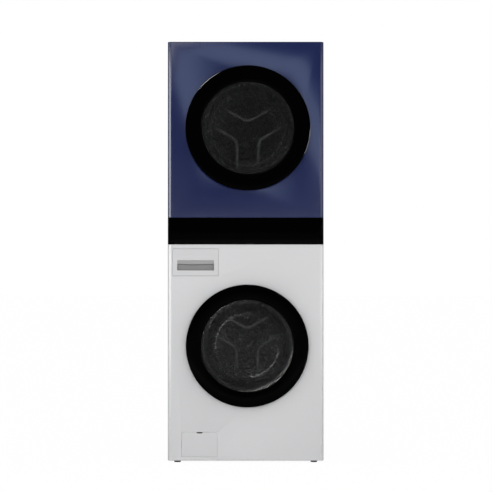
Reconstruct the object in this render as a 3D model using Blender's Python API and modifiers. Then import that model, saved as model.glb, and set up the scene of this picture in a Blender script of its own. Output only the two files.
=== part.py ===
"""Laundry tower: a front-loading washer below a heat-pump dryer, in one cabinet.

Metres, +Z up, front towards -Y, origin on the floor under the middle of the whole object.
"""

import math

import bmesh
import bpy
from mathutils import Matrix, Vector

# ---------------------------------------------------------------- driving dimensions
CABINET_WIDTH = 0.700
OVERALL_HEIGHT = 1.890
OVERALL_DEPTH = 0.830          # door fronts to the ends of the water inlets
DOOR_PROUD = 0.040             # door fronts stand this far out of the front panels
REAR_PROUD = 0.015             # water inlets stand this far out of the rear panels
SHEET = 0.0010                 # steel sheet
FRONT_SHEET = 0.0012           # front panels
GAP = 0.0003                   # between pieces that touch
CLEAR = 0.0005                 # between a moving front and its opening
CORNER_RADIUS = 0.013          # upright edges of the front panels
TOP_EDGE_RADIUS = 0.003
FRONT_RETURN = 0.022           # depth of the front panels' flanges
SIDE_FLANGE = 0.015
FOOT_GAP = 0.009               # floor to the underside of the cabinet
WASHER_FRONT_TOP = 0.980
DRYER_FRONT_BOTTOM = 1.100
TOP_SKIRT = 0.020
DECK_SKIRT = 0.035
PAN_WALL = 0.040

ROUND_BIG = 32                 # facets round a drum, tub or door
ROUND_MIDDLE = 24              # facets round the motor shaft and the blower
ROUND_SMALL = 16               # facets round a roller, spring or foot
ROUND_PIN = 12                 # facets round a hinge pin
TURN = 2 * math.pi
REACH = 0.01                   # a cutter stands this far out of what it cuts

FRONT_Y = -OVERALL_DEPTH / 2 + DOOR_PROUD
DOOR_Y = -OVERALL_DEPTH / 2
REAR_Y = OVERALL_DEPTH / 2 - REAR_PROUD
INLET_END_Y = OVERALL_DEPTH / 2
HALF_WIDTH = CABINET_WIDTH / 2
INNER_X = HALF_WIDTH - SHEET - GAP
BEHIND_FRONT_Y = FRONT_Y + FRONT_RETURN + GAP
PANEL_BACK_Y = FRONT_Y + FRONT_SHEET + GAP
BEHIND_FLANGE_Y = BEHIND_FRONT_Y + SHEET + GAP
REAR_FLANGE_Y = REAR_Y - SHEET - GAP
INSIDE_REAR_Y = REAR_FLANGE_Y - SHEET - GAP
PAN_FLOOR_Z = FOOT_GAP + SHEET + GAP
DECK_TOP_Z = WASHER_FRONT_TOP + 0.020
DECK_SEAT_Z = DECK_TOP_Z + GAP

# ---------------------------------------------------------------- doors
WASHER_AXIS = Vector((0.007, 0.0, 0.525))
DRYER_AXIS = Vector((0.010, 0.0, 1.502))
WASHER_RING_RADIUS = 0.275
DRYER_RING_RADIUS = 0.280
WINDOW_RADIUS = 0.206
PANEL_OPENING_RADIUS = 0.216
RING_WALL = 0.003
RING_FACE = 0.004
RING_EDGE_DEPTH = 0.020        # the ring's rim stops early, so that it can swing past the panel
DOOR_THICK = 0.034
WINDOW_THICK = 0.004
WINDOW_RECESS = 0.002
RING_INNER_DEPTH = 0.013
LINER_SHEET = 0.003
LINER_REACH = 0.024            # the liner ends this far inside the ring's edge
BOSS_WALL = 0.004
GLASS = 0.005
BOWL_REAR_Y = -0.295
BOWL_REAR_RADIUS = 0.138
DRYER_GLASS_REAR_Y = -0.347
DRYER_GLASS_REAR_RADIUS = 0.170
GLASS_NECK_RADIUS = 0.192
LINER_INNER_RADIUS = 0.198
NECK_SHARE = 0.6               # the bowl's wall bends at this share of its depth,
NECK_TAPER = 0.3               # drawn in by this share of its taper,
SHOULDER_SHARE = 0.15          # and again near its end
SHOULDER_SPREAD = 0.4
HINGE_INSET = 0.020            # hinge axis from the ring's left edge
HINGE_Y = DOOR_Y + 0.014
PIN_RADIUS = 0.003
PIN_HALF = 0.058
LEAF_HALF = 0.036
LEAF_REACH = 0.022
LUG_LOW = 0.0395
LUG_HIGH = 0.0545
LUG_HALF_WIDTH = 0.0040
LUG_NOSE = 0.0040
NOTCH_CLEAR = 0.0025
BRACKET_SHEET = 0.002
BRACKET_HALF = 0.065
BRACKET_REACH = 0.030
BRACKET_START = 0.010

LATCH_REACH = 0.236            # hook from the door's middle
LATCH_Y = HINGE_Y + 0.005
LATCH_WIDTH = 0.006
LATCH_HALF_HEIGHT = 0.007
LATCH_END_Y = -0.350
LATCH_SLOT = 0.007             # room round the hook
LATCH_NOSE = 0.008             # depth of the hook's nose
LATCH_NOSE_DROP = 0.004
LATCH_ROOM = 0.0008
LATCH_SWING = 0.006
LATCH_HOLE_HALF = 0.0125
LOCK_X = (-0.013, 0.015)
LOCK_HALF_HEIGHT = 0.032
LOCK_DEPTH = 0.040
LOCK_SLOT_HALF = 0.016
LOCK_SLOT_DEPTH = 0.034
LOCK_SLOT_EXTRA = 0.002

# ---------------------------------------------------------------- washer inside
TUB_INNER = 0.288
TUB_WALL = 0.004
TUB_FLANGE = 0.305
FLANGE_THICK = 0.005
TUB_SPLIT_Y = -0.050
TUB_FRONT_Y = -0.300
TUB_REAR_Y = 0.255
TUB_MOUTH = 0.196
TUB_NECK = 0.025
HUB_RADIUS = 0.045
HUB_FRONT_Y = 0.238
HUB_REAR_Y = 0.285
WASHER_SHAFT = 0.018
SHAFT_CLEAR = 0.0005
WASHER_DRUM_RADIUS = 0.270
WASHER_DRUM_MOUTH = 0.206
WASHER_DRUM_FRONT_Y = -0.287
WASHER_DRUM_BACK_Y = 0.222
DRUM_WALL = 0.0015
DRUM_HEM = 0.010
LIFTER_HALF = 0.028
LIFTER_TOP_HALF = 0.010
LIFTER_HEIGHT = 0.045
LIFTER_CHAMFER = 0.006
LIFTER_WALL = 0.0025
LIFTER_END_GAP = 0.030
STAR_RELIEF = 0.026
STAR_ARM_HALF = 0.046
STAR_EDGE = 0.016
STAR_REACH = 0.178
STAR_RINGS = 9
STAR_MIDDLE = 0.012
EAR_X = 0.300
EAR_HALF = 0.016
EAR_THICK = 0.012
EAR_Z = 0.190
EAR_Y = 0.050
FOOT_EAR_X = 0.190
FOOT_EAR_Z = -0.252
FOOT_EAR_HEIGHT = 0.040
EAR_ROOT = 0.080               # how far the ears reach into the tub's wall
SPRING_RADIUS = 0.011
DAMPER_RADIUS = 0.014
STATOR_RADIUS = 0.138
STATOR_DEPTH = 0.036
STATOR_BOSS = 0.030
STATOR_SEAT = 0.007
ROTOR_SEAT = 0.008
SHAFT_PROUD = 0.010            # the shaft's end behind the rotor
ROTOR_RADIUS = 0.150
ROTOR_WALL = 0.003
ROTOR_REAR_Y = 0.312
WEIGHT_INNER = 0.222
WEIGHT_OUTER = 0.285
WEIGHT_DEPTH = 0.045
WEIGHT_SPAN = math.radians(116)
GASKET_WALL = 0.003
GASKET_FOLD = 0.016            # height of the bellows' front fold
GASKET_STEPS = (0.001, 0.013, 0.016, 0.022, 0.027, 0.036)   # behind the front panel's face
CUFF_REACH = (-0.006, 0.014)   # from the tub's neck

PUMP_X = -0.207
PUMP_Z = 0.085
PUMP_RADIUS = 0.042
PUMP_FRONT_Y = -0.300
PUMP_REAR_Y = -0.165
PUMP_BORE = 0.0262
PUMP_FOOT_HALF = 0.030
PUMP_FOOT_Y = (-0.280, -0.175)
PUMP_FOOT_TOP = -0.034         # from the pump's axis
FILTER_RADIUS = 0.025
FILTER_HEAD = 0.036
FILTER_FRONT_Y = -0.362
FILTER_GRIP = 0.006
FILTER_END_Y = -0.235
FILTER_END_ROOM = 0.012
FILTER_HEAD_THICK = 0.014
FILTER_GRIP_HALF = 0.0288
FILTER_GRIP_ROOT = 0.010

VALVE_X = (0.190, 0.285)
VALVE_Z = (0.895, 0.945)
VALVE_DEPTH = 0.055
SPIGOT_RADIUS = 0.0125
SPIGOT_HOLE = 0.0140
SPIGOT_INSET = 0.025
SPIGOT_WALL = 0.004
SPIGOT_ROOT = 0.005
SPIGOT_BORE_DEPTH = 0.010
GLAND_X = -0.250
GLAND_Z = 0.920
GLAND_HOLE = 0.0110
GLAND_BORE = 0.005
GLAND_TAIL = 0.004             # inside the rear panel
GLAND_FLANGE = 0.006
GLAND_FLANGE_THICK = 0.004
GLAND_NOSE = 0.011
GLAND_NOSE_TAPER = 0.002

# ---------------------------------------------------------------- drawer and flap
DRAWER_X = (-0.330, -0.122)
DRAWER_Z = (0.838, 0.961)
DRAWER_FRONT_DEPTH = 0.028
DRAWER_WALL = 0.0025
GRIP_X = (-0.308, -0.142)
GRIP_Z = (0.863, 0.909)
GRIP_DEPTH = 0.020
HOUSING_WALL = 0.002
HOUSING_REAR_Y = -0.070
RUNNER_WIDTH = 0.006
RUNNER_INSET = 0.020
RUNNER_START = 0.004
TRAY_END_ROOM = 0.015
LONG_POCKET_SHARE = 0.55
TRAY_HEIGHT = 0.078
TRAY_WALL = 0.0025
TRAY_CLEAR = 0.0015
FLAP_X = (-0.289, -0.125)
FLAP_Z = (0.025, 0.137)
FLAP_THICK = 0.0025
FLAP_NOTCH_HALF = 0.013
FLAP_NOTCH_DEPTH = 0.0045
FLAP_SIDE_CLEAR = 0.0008

# ---------------------------------------------------------------- dryer inside
DRYER_DRUM_RADIUS = 0.290
DRYER_DRUM_MOUTH = 0.262
DRYER_DRUM_FRONT_Y = -0.290
DRYER_DRUM_BACK_Y = 0.295
DRYER_SHAFT = 0.012
BEARING_RADIUS = 0.030
BEARING_Y = 0.366
BULKHEAD_Y = -0.320
BULKHEAD_SHEET = 0.002
BULKHEAD_HALF = 0.330
BULKHEAD_LOW = 1.125
BULKHEAD_HIGH = 1.860
THROAT_WALL = 0.003
SEAT_RING = 0.2585
SEAT_WALL = 0.003
SEAT_END_Y = -0.286
ROLLER_RADIUS = 0.032
ROLLER_BORE = 0.0053
ROLLER_PIN = 0.005
ROLLER_Y = (-0.278, -0.254)
ROLLER_ANGLE = math.radians(32)
ROLLER_PIN_END = -0.248
LINT_HALF = 0.1015
LINT_Y = (-0.3395, -0.3245)
LINT_TOP_Z = 1.290
LINT_FLOOR_Z = 1.135
LINT_HOUSING_WALL = 0.0025
LINT_FRAME = 0.010
LINT_WEB = 0.002
LINT_CLEAR = 0.001
LINT_WELL_RISE = 0.022         # the well's walls above the filter's top

MOTOR_X = -0.200
MOTOR_Z = 1.095
MOTOR_RADIUS = 0.048
MOTOR_Y = (0.045, 0.150)
MOTOR_SHAFT = 0.006
MOTOR_FOOT_HALF = 0.045
MOTOR_FOOT_INSET = 0.015
MOTOR_FOOT_ROOT = 0.012
BORE_CLEAR = 0.0006
PULLEY_RADIUS = 0.020
BELT_Y = (-0.006, 0.006)
BELT_THICK = 0.0025
PULLEY_FLANGE = 0.002
PULLEY_HUB = 0.006
BELT_ROOM = 0.0015
FAN_RADIUS = 0.070
FAN_Y = (0.185, 0.225)
FAN_WALL = 0.008
FAN_DISC = 0.003
BLOWER_RADIUS = 0.083
BLOWER_Y = (0.174, 0.240)
BLOWER_INLET = 0.050
BLOWER_WALL = 0.002
BLOWER_BORE = 0.012
BLOWER_FOOT_HALF = 0.050
BLOWER_FOOT_INSET = 0.010
EXCHANGER_X = (0.030, 0.325)
EXCHANGER_Y = (-0.285, 0.120)
EXCHANGER_TOP = 1.168
DUCT_WALL = 0.004
DUCT_DEPTH = 0.030
COMPRESSOR_X = 0.235
COMPRESSOR_Y = 0.255
COMPRESSOR_RADIUS = 0.052
COMPRESSOR_TOP = 1.195
COMPRESSOR_CROWN = 0.018

FOOT_X = 0.307
FOOT_FRONT_Y = -0.330
FOOT_REAR_Y = 0.345
FOOT_RADIUS = 0.0165
FOOT_STEM = 0.005
FOOT_STEM_TOP = 0.046
FOOT_STEM_CLEAR = 0.0004
FOOT_TAPER = 0.85
CREASE_ANGLE = math.radians(35)

# ---------------------------------------------------------------- scene helpers
COLOURS = {
    "white_enamel": ((0.64, 0.64, 0.65), 0.30, 0.0),
    "blue_enamel": ((0.045, 0.062, 0.17), 0.25, 0.0),
    "black_gloss": ((0.003, 0.003, 0.003), 0.15, 0.0),
    "galvanised": ((0.45, 0.46, 0.47), 0.45, 0.9),
    "drum_steel": ((0.55, 0.55, 0.56), 0.28, 1.0),
    "grey_plastic": ((0.30, 0.30, 0.31), 0.55, 0.0),
    "tub_plastic": ((0.50, 0.50, 0.50), 0.60, 0.0),
    "dark_glass": ((0.02, 0.02, 0.02), 0.05, 0.0),
    "rubber": ((0.10, 0.10, 0.10), 0.80, 0.0),
    "concrete": ((0.35, 0.34, 0.32), 0.90, 0.0),
    "copper_winding": ((0.50, 0.20, 0.08), 0.40, 0.8),
}


def clear_scene():
    for thing in list(bpy.data.objects):
        bpy.data.objects.remove(thing, do_unlink=True)


def new_collection(name):
    collection = bpy.data.collections.new(name)
    bpy.context.scene.collection.children.link(collection)
    return collection


def material(name):
    found = bpy.data.materials.get(name)
    if found:
        return found
    colour, roughness, metallic = COLOURS[name]
    made = bpy.data.materials.new(name)
    made.use_nodes = True
    shader = made.node_tree.nodes["Principled BSDF"]
    shader.inputs["Base Color"].default_value = (*colour, 1.0)
    shader.inputs["Roughness"].default_value = roughness
    shader.inputs["Metallic"].default_value = metallic
    return made


def add_object(name, mesh, finish, parent=None, place=(0, 0, 0)):
    """Link a mesh, modelled about the point `place`, under its parent's pivot."""
    thing = bpy.data.objects.new(name, mesh)
    PARTS.objects.link(thing)
    mesh.materials.append(material(finish))
    thing.location = Vector(place)
    if parent:
        thing.parent = parent
        thing.location = Vector(place) - parent.location
    return thing


def pivot(name, place):
    """An empty on a joint's axis, which carries the moving pieces."""
    empty = bpy.data.objects.new(name, None)
    PARTS.objects.link(empty)
    empty.location = Vector(place)
    return empty


def mesh_from(bm, name):
    bmesh.ops.recalc_face_normals(bm, faces=bm.faces)
    mesh = bpy.data.meshes.new(name)
    bm.to_mesh(mesh)
    bm.free()
    return mesh


def add_block(bm, low, high):
    size = Vector(high) - Vector(low)
    middle = (Vector(high) + Vector(low)) / 2
    made = bmesh.ops.create_cube(bm, size=1.0)
    bmesh.ops.scale(bm, vec=size, verts=made["verts"])
    bmesh.ops.translate(bm, vec=middle, verts=made["verts"])


def block_mesh(name, low, high):
    bm = bmesh.new()
    add_block(bm, low, high)
    return mesh_from(bm, name)


def rod_mesh(name, centre, radius, start, end, axis="Y", facets=ROUND_SMALL):
    """A cylinder along an axis, between two places on it."""
    turn = {"X": Matrix.Rotation(TURN / 4, 4, "Y"), "Y": Matrix.Rotation(TURN / 4, 4, "X"),
            "Z": Matrix.Identity(4)}[axis]
    middle = Vector(centre)
    middle["XYZ".index(axis)] = (start + end) / 2
    bm = bmesh.new()
    bmesh.ops.create_cone(bm, cap_ends=True, segments=facets, radius1=radius, radius2=radius,
                          depth=end - start, matrix=Matrix.Translation(middle) @ turn)
    return mesh_from(bm, name)


def baked(thing):
    """The mesh as its modifiers leave it, in place of the modifiers."""
    bpy.context.view_layer.update()
    evaluated = thing.evaluated_get(bpy.context.evaluated_depsgraph_get())
    mesh = bpy.data.meshes.new_from_object(evaluated)
    thing.modifiers.clear()
    thing.data = mesh
    return thing


def boolean(thing, mesh, operation):
    """Cut or join a mesh given in the same coordinates as the piece's own."""
    tool = bpy.data.objects.new(thing.name + "_tool", mesh)
    CUTTERS.objects.link(tool)
    tool.hide_render = True
    tool.display_type = "WIRE"
    tool.parent = thing
    modifier = thing.modifiers.new(operation.lower(), "BOOLEAN")
    modifier.operation = operation
    modifier.object = tool
    baked(thing)
    bpy.data.objects.remove(tool, do_unlink=True)


def cut(thing, mesh):
    boolean(thing, mesh, "DIFFERENCE")


def join(thing, mesh):
    boolean(thing, mesh, "UNION")


def clockwise(points):
    """A closed outline whose outer side runs from top to bottom."""
    area = 0.0
    for (r0, h0), (r1, h1) in zip(points, points[1:] + points[:1]):
        area += r0 * h1 - r1 * h0
    return points if area < 0 else points[::-1]


def turned(name, outline, finish, parent=None, axis_at=(0, 0, 0), facets=ROUND_BIG):
    """A ring or bowl turned about a fore-and-aft axis; the outline is (radius, world y)."""
    solid_middle = any(radius == 0.0 for radius, _ in outline)
    points = clockwise(outline)
    mesh = bpy.data.meshes.new(name)
    edges = [(i, i + 1) for i in range(len(points) - 1)]
    if solid_middle:
        on_axis = [i for i, (radius, _) in enumerate(points) if radius == 0.0]
        if on_axis[-1] - on_axis[0] == 1:
            points = points[on_axis[-1]:] + points[:on_axis[-1]]
    else:
        edges.append((len(points) - 1, 0))
    mesh.from_pydata([(radius, 0.0, depth) for radius, depth in points], edges, [])
    thing = add_object(name, mesh, finish, parent, (axis_at[0], 0.0, axis_at[2]))
    screw = thing.modifiers.new("turn", "SCREW")
    screw.angle = TURN
    screw.steps = facets
    screw.render_steps = facets
    screw.use_merge_vertices = True
    screw.merge_threshold = 0.00001
    screw.use_smooth_shade = True
    baked(thing)
    thing.data.transform(Matrix.Rotation(-TURN / 4, 4, "X"))
    return thing


def ribbon(path, thickness):
    """The closed outline of a wall of even thickness along a bent path."""
    half = thickness / 2
    left, right = [], []
    for i, (r, y) in enumerate(path):
        before = path[max(i - 1, 0)]
        after = path[min(i + 1, len(path) - 1)]
        ways = []
        for a, b in ((before, (r, y)), ((r, y), after)):
            way = Vector((b[0] - a[0], b[1] - a[1]))
            if way.length > 0:
                ways.append(way.normalized())
        along = (ways[0] + ways[-1]).normalized()
        reach = half / max(0.5, along.dot(ways[0]))
        across = Vector((-along.y, along.x)) * reach
        left.append((r + across.x, y + across.y))
        right.append((r - across.x, y - across.y))
    return left + right[::-1]


def tray(name, low, high, sheet, open_side, finish, bevels=()):
    """A sheet-metal box, open on one side ('+Y', '-Z', ...), its walls inside low and high.

    Each bevel is (test on an edge's two ends, radius, segments).
    """
    bm = bmesh.new()
    add_block(bm, low, high)
    axis = "XYZ".index(open_side[1])
    sign = 1 if open_side[0] == "+" else -1
    for test, radius, segments in bevels:
        edges = [edge for edge in bm.edges if test(*[vert.co for vert in edge.verts])]
        bmesh.ops.bevel(bm, geom=edges, offset=radius, offset_type="OFFSET", segments=segments,
                        profile=0.5, affect="EDGES", clamp_overlap=True)
    bm.normal_update()
    lids = [face for face in bm.faces if face.normal[axis] * sign > 0.999]
    bmesh.ops.delete(bm, geom=lids, context="FACES")
    mesh = bpy.data.meshes.new(name)
    bm.to_mesh(mesh)
    bm.free()
    thing = add_object(name, mesh, finish)
    skin = thing.modifiers.new("sheet", "SOLIDIFY")
    skin.thickness = sheet
    skin.offset = -1.0
    skin.use_even_offset = True
    return baked(thing)


def upright_front_edge(one, two):
    """True for the two upright edges at the front of a panel."""
    upright = abs(one.x - two.x) < 1e-6 and abs(one.y - two.y) < 1e-6
    return upright and abs(one.y - FRONT_Y) < 1e-6


def top_front_edge(one, two):
    level = abs(one.z - two.z) < 1e-6 and abs(one.z - OVERALL_HEIGHT) < 1e-6
    return level and one.y < FRONT_Y + CORNER_RADIUS and two.y < FRONT_Y + CORNER_RADIUS


# ---------------------------------------------------------------- cabinet
def make_base_pan():
    pan = tray("base_pan", (-INNER_X, BEHIND_FLANGE_Y, FOOT_GAP),
               (INNER_X, INSIDE_REAR_Y, FOOT_GAP + PAN_WALL), SHEET, "+Z", "galvanised")
    for x, y in foot_places().values():
        cut(pan, rod_mesh("hole", (x, y, 0), FOOT_STEM + FOOT_STEM_CLEAR, 0.0, PAN_WALL, "Z"))


def side_panel_mesh(name, side):
    """A flat side with a flange at the front and the rear, open towards the inside."""
    outer, inner = side * HALF_WIDTH, side * (HALF_WIDTH - SIDE_FLANGE)
    top = OVERALL_HEIGHT - TOP_SKIRT - GAP
    low = (min(outer, inner), BEHIND_FRONT_Y, FOOT_GAP)
    high = (max(outer, inner), REAR_FLANGE_Y, top)
    bm = bmesh.new()
    add_block(bm, low, high)
    bm.normal_update()
    ends = [face for face in bm.faces if abs(face.normal.z) > 0.5 or face.normal.x * side < -0.5]
    bmesh.ops.delete(bm, geom=ends, context="FACES")
    mesh = bpy.data.meshes.new(name)
    bm.to_mesh(mesh)
    bm.free()
    return mesh


def make_side_panels():
    for name, side in (("side_panel_left", -1), ("side_panel_right", 1)):
        panel = add_object(name, side_panel_mesh(name, side), "white_enamel")
        skin = panel.modifiers.new("sheet", "SOLIDIFY")
        skin.thickness = SHEET
        skin.offset = -1.0
        skin.use_even_offset = True
        baked(panel)


def make_rear_panels():
    edge = HALF_WIDTH - SHEET
    lower = add_object("rear_panel_lower", block_mesh(
        "rear_panel_lower", (-edge, REAR_Y - SHEET, FOOT_GAP), (edge, REAR_Y, DECK_TOP_Z)),
        "galvanised")
    for x in spigot_places():
        middle = sum(VALVE_Z) / 2
        cut(lower, rod_mesh("hole", (x, 0, middle), SPIGOT_HOLE, REAR_Y - REACH, REAR_Y + REACH))
    cut(lower, rod_mesh("hole", (GLAND_X, 0, GLAND_Z), GLAND_HOLE, REAR_Y - REACH, REAR_Y + REACH))
    top = OVERALL_HEIGHT - TOP_SKIRT - GAP
    upper = add_object("rear_panel_upper", block_mesh(
        "rear_panel_upper", (-edge, REAR_Y - SHEET, DECK_TOP_Z + GAP), (edge, REAR_Y, top)),
        "galvanised")
    centre = (DRYER_AXIS.x, 0, DRYER_AXIS.z)
    join(upper, rod_mesh("boss", centre, BEARING_RADIUS, BEARING_Y, REAR_Y - SHEET / 2,
                         facets=ROUND_SMALL))
    cut(upper, rod_mesh("bore", centre, DRYER_SHAFT + SHAFT_CLEAR, BEARING_Y - REACH,
                        REAR_Y - 2 * SHEET))


def make_top_cover():
    tray("top_cover", (-HALF_WIDTH, BEHIND_FRONT_Y, OVERALL_HEIGHT - TOP_SKIRT),
         (HALF_WIDTH, REAR_Y, OVERALL_HEIGHT), SHEET, "-Z", "white_enamel")


def make_middle_deck():
    deck = tray("middle_deck", (-INNER_X, BEHIND_FLANGE_Y, DECK_TOP_Z - DECK_SKIRT),
                (INNER_X, INSIDE_REAR_Y, DECK_TOP_Z), SHEET, "-Z", "galvanised")
    for side in (-1, 1):
        x = WASHER_AXIS.x + side * EAR_X
        join(deck, block_mesh("hook", (x - EAR_HALF, EAR_Y - EAR_HALF, DECK_TOP_Z - DECK_SKIRT),
                              (x + EAR_HALF, EAR_Y + EAR_HALF, DECK_TOP_Z - SHEET / 2)))


def front_panel(name, bottom, top, finish, bevels):
    return tray(name, (-HALF_WIDTH, FRONT_Y, bottom), (HALF_WIDTH, FRONT_Y + FRONT_RETURN, top),
                FRONT_SHEET, "+Y", finish, bevels)


def make_washer_front():
    upright = (upright_front_edge, CORNER_RADIUS, 4)
    panel = front_panel("washer_front_panel", FOOT_GAP, WASHER_FRONT_TOP - GAP / 2,
                        "white_enamel", (upright,))
    centre = (WASHER_AXIS.x, 0, WASHER_AXIS.z)
    cut(panel, rod_mesh("mouth", centre, PANEL_OPENING_RADIUS, FRONT_Y - REACH, FRONT_Y + REACH,
                        facets=ROUND_BIG))
    behind = FRONT_Y + FRONT_RETURN / 2
    cut(panel, block_mesh("drawer_hole", (DRAWER_X[0], FRONT_Y - REACH, DRAWER_Z[0]),
                          (DRAWER_X[1], behind, DRAWER_Z[1])))
    cut(panel, block_mesh("flap_hole", (FLAP_X[0], FRONT_Y - REACH, FLAP_Z[0]),
                          (FLAP_X[1], behind, FLAP_Z[1])))
    x = WASHER_AXIS.x + LATCH_REACH
    cut(panel, block_mesh("hook_hole", (x - LATCH_SLOT, FRONT_Y - REACH, centre[2] - LOCK_SLOT_HALF),
                          (x + LATCH_SLOT, behind, centre[2] + LOCK_SLOT_HALF)))


def make_dryer_front():
    upright = (upright_front_edge, CORNER_RADIUS, 4)
    crown = (top_front_edge, TOP_EDGE_RADIUS, 2)
    panel = front_panel("dryer_front_panel", DRYER_FRONT_BOTTOM + GAP / 2, OVERALL_HEIGHT,
                        "blue_enamel", (upright, crown))
    cut(panel, rod_mesh("mouth", (DRYER_AXIS.x, 0, DRYER_AXIS.z), PANEL_OPENING_RADIUS,
                        FRONT_Y - REACH, FRONT_Y + REACH, facets=ROUND_BIG))


def make_control_panel():
    upright = (upright_front_edge, CORNER_RADIUS, 4)
    front_panel("control_panel", WASHER_FRONT_TOP + GAP / 2, DRYER_FRONT_BOTTOM - GAP / 2,
                "black_gloss", (upright,))


def foot_places():
    places = {}
    for where, y in (("front", FOOT_FRONT_Y), ("rear", FOOT_REAR_Y)):
        for side, x in (("left", -FOOT_X), ("right", FOOT_X)):
            places[f"foot_{where}_{side}"] = (x, y)
    return places


def make_feet():
    for name, (x, y) in foot_places().items():
        screw = pivot(name + "_axis", (x, y, 0.0))
        bm = bmesh.new()
        bmesh.ops.create_cone(bm, cap_ends=True, segments=ROUND_SMALL, radius1=FOOT_RADIUS * FOOT_TAPER,
                              radius2=FOOT_RADIUS, depth=FOOT_GAP - GAP,
                              matrix=Matrix.Translation((0, 0, (FOOT_GAP - GAP) / 2)))
        foot = add_object(name, mesh_from(bm, name), "rubber", screw, (x, y, 0.0))
        join(foot, rod_mesh("stem", (0, 0, 0), FOOT_STEM, FOOT_GAP / 2, FOOT_STEM_TOP, "Z"))


# ---------------------------------------------------------------- doors
def hinge_x(axis, ring_radius):
    return axis.x - ring_radius + HINGE_INSET


def lug_notch(axis, ring_radius, side):
    """Room for one lug of the hinge bracket, open to the left and the rear; door coordinates."""
    inner = -ring_radius + HINGE_INSET + LUG_HALF_WIDTH + NOTCH_CLEAR
    ends = sorted((side * (LUG_LOW - NOTCH_CLEAR), side * (LUG_HIGH + NOTCH_CLEAR)))
    return block_mesh("notch", (-ring_radius - REACH, DOOR_Y + RING_FACE, ends[0]),
                      (inner, FRONT_Y, ends[1]))


def make_ring(name, axis, ring_radius, carrier):
    """The door's ring: a deep face with an outer rim and an inner wall, open to the rear."""
    face = DOOR_Y + RING_FACE
    inner = WINDOW_RADIUS + GAP
    outline = [
        (inner, DOOR_Y), (ring_radius - RING_FACE / 2, DOOR_Y), (ring_radius, DOOR_Y + RING_FACE / 2),
        (ring_radius, DOOR_Y + RING_EDGE_DEPTH), (ring_radius - RING_WALL, DOOR_Y + RING_EDGE_DEPTH),
        (ring_radius - RING_WALL, face), (inner + BOSS_WALL, face),
        (inner + BOSS_WALL, DOOR_Y + RING_INNER_DEPTH), (inner, DOOR_Y + RING_INNER_DEPTH)]
    ring = turned(name, outline, "black_gloss", carrier, axis)
    for side in (-1, 1):
        cut(ring, lug_notch(axis, ring_radius, side))


def make_window(name, axis, carrier):
    front = DOOR_Y + WINDOW_RECESS
    turned(name, [(0.0, front), (WINDOW_RADIUS, front), (WINDOW_RADIUS, front + WINDOW_THICK),
                  (0.0, front + WINDOW_THICK)], "dark_glass", carrier, axis)


def flange_front_y():
    return DOOR_Y + RING_INNER_DEPTH + GAP


def flange_radius():
    return WINDOW_RADIUS + GAP + BOSS_WALL


def make_liner(name, axis, ring_radius, carrier):
    """The rear cover of the door: it holds the inner glass's flange against the ring."""
    back = DOOR_Y + DOOR_THICK
    clamp = flange_front_y() + GLASS + GAP
    boss = flange_radius() + GAP
    rim = ring_radius - LINER_REACH
    edge = ring_radius - RING_WALL - GAP
    lip = DOOR_Y + RING_EDGE_DEPTH
    outline = [
        (LINER_INNER_RADIUS, clamp), (boss, clamp), (boss, DOOR_Y + RING_FACE + GAP),
        (boss + BOSS_WALL, DOOR_Y + RING_FACE + GAP), (boss + BOSS_WALL, back - LINER_SHEET),
        (rim, back - LINER_SHEET), (edge, lip - LINER_SHEET), (edge, lip), (rim, back),
        (LINER_INNER_RADIUS, back)]
    liner = turned(name, outline, "grey_plastic", carrier, axis)
    for side in (-1, 1):
        cut(liner, lug_notch(axis, ring_radius, side))
    return liner


def make_inner_glass(name, axis, carrier, rear_y, rear_radius):
    """A clear bowl that reaches from the door into the drum's mouth, with a clamped flange."""
    front = flange_front_y()
    neck_y = front + NECK_SHARE * (rear_y - front)
    neck = GLASS_NECK_RADIUS - NECK_TAPER * (GLASS_NECK_RADIUS - rear_radius)
    shoulder = rear_y - SHOULDER_SHARE * (rear_y - front)
    shoulder_radius = rear_radius + SHOULDER_SPREAD * (neck - rear_radius)
    outline = [
        (0.0, rear_y), (rear_radius, rear_y), (shoulder_radius, shoulder),
        (neck, neck_y), (GLASS_NECK_RADIUS, front + GLASS), (flange_radius(), front + GLASS),
        (flange_radius(), front), (GLASS_NECK_RADIUS - GLASS, front),
        (neck - GLASS, neck_y), (shoulder_radius - GLASS, shoulder - GLASS / 2),
        (rear_radius - GLASS, rear_y - GLASS), (0.0, rear_y - GLASS)]
    turned(name, outline, "dark_glass", carrier, axis)


def make_hinge(name, axis, ring_radius, carrier):
    """The moving leaf with its pin, modelled about the hinge axis."""
    x = hinge_x(axis, ring_radius)
    leaf = add_object(name, rod_mesh(name, (0, 0, 0), PIN_RADIUS, -PIN_HALF, PIN_HALF, "Z",
                                        ROUND_PIN),
                      "galvanised", carrier, (x, HINGE_Y, axis.z))
    join(leaf, block_mesh("leaf", (-PIN_RADIUS, DOOR_Y + RING_FACE + GAP - HINGE_Y, -LEAF_HALF),
                          (LEAF_REACH, PIN_RADIUS, LEAF_HALF)))


def make_bracket(name, axis, ring_radius):
    """The fixed half of a hinge: a plate on the front panel with two bored lugs."""
    x = hinge_x(axis, ring_radius)
    plate_y = FRONT_Y - GAP
    bracket = add_object(name, block_mesh(
        name, (x - BRACKET_START, plate_y - BRACKET_SHEET, axis.z - BRACKET_HALF),
        (x + BRACKET_REACH, plate_y, axis.z + BRACKET_HALF)), "galvanised")
    for side in (-1, 1):
        low, high = sorted((axis.z + side * LUG_LOW, axis.z + side * LUG_HIGH))
        join(bracket, block_mesh("lug", (x - LUG_HALF_WIDTH, HINGE_Y - LUG_NOSE, low),
                                 (x + LUG_HALF_WIDTH, plate_y - BRACKET_SHEET / 2, high)))
        cut(bracket, rod_mesh("pin_hole", (x, HINGE_Y, 0), PIN_RADIUS + GAP, low - REACH / 5,
                              high + REACH / 5, "Z", ROUND_PIN))


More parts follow.
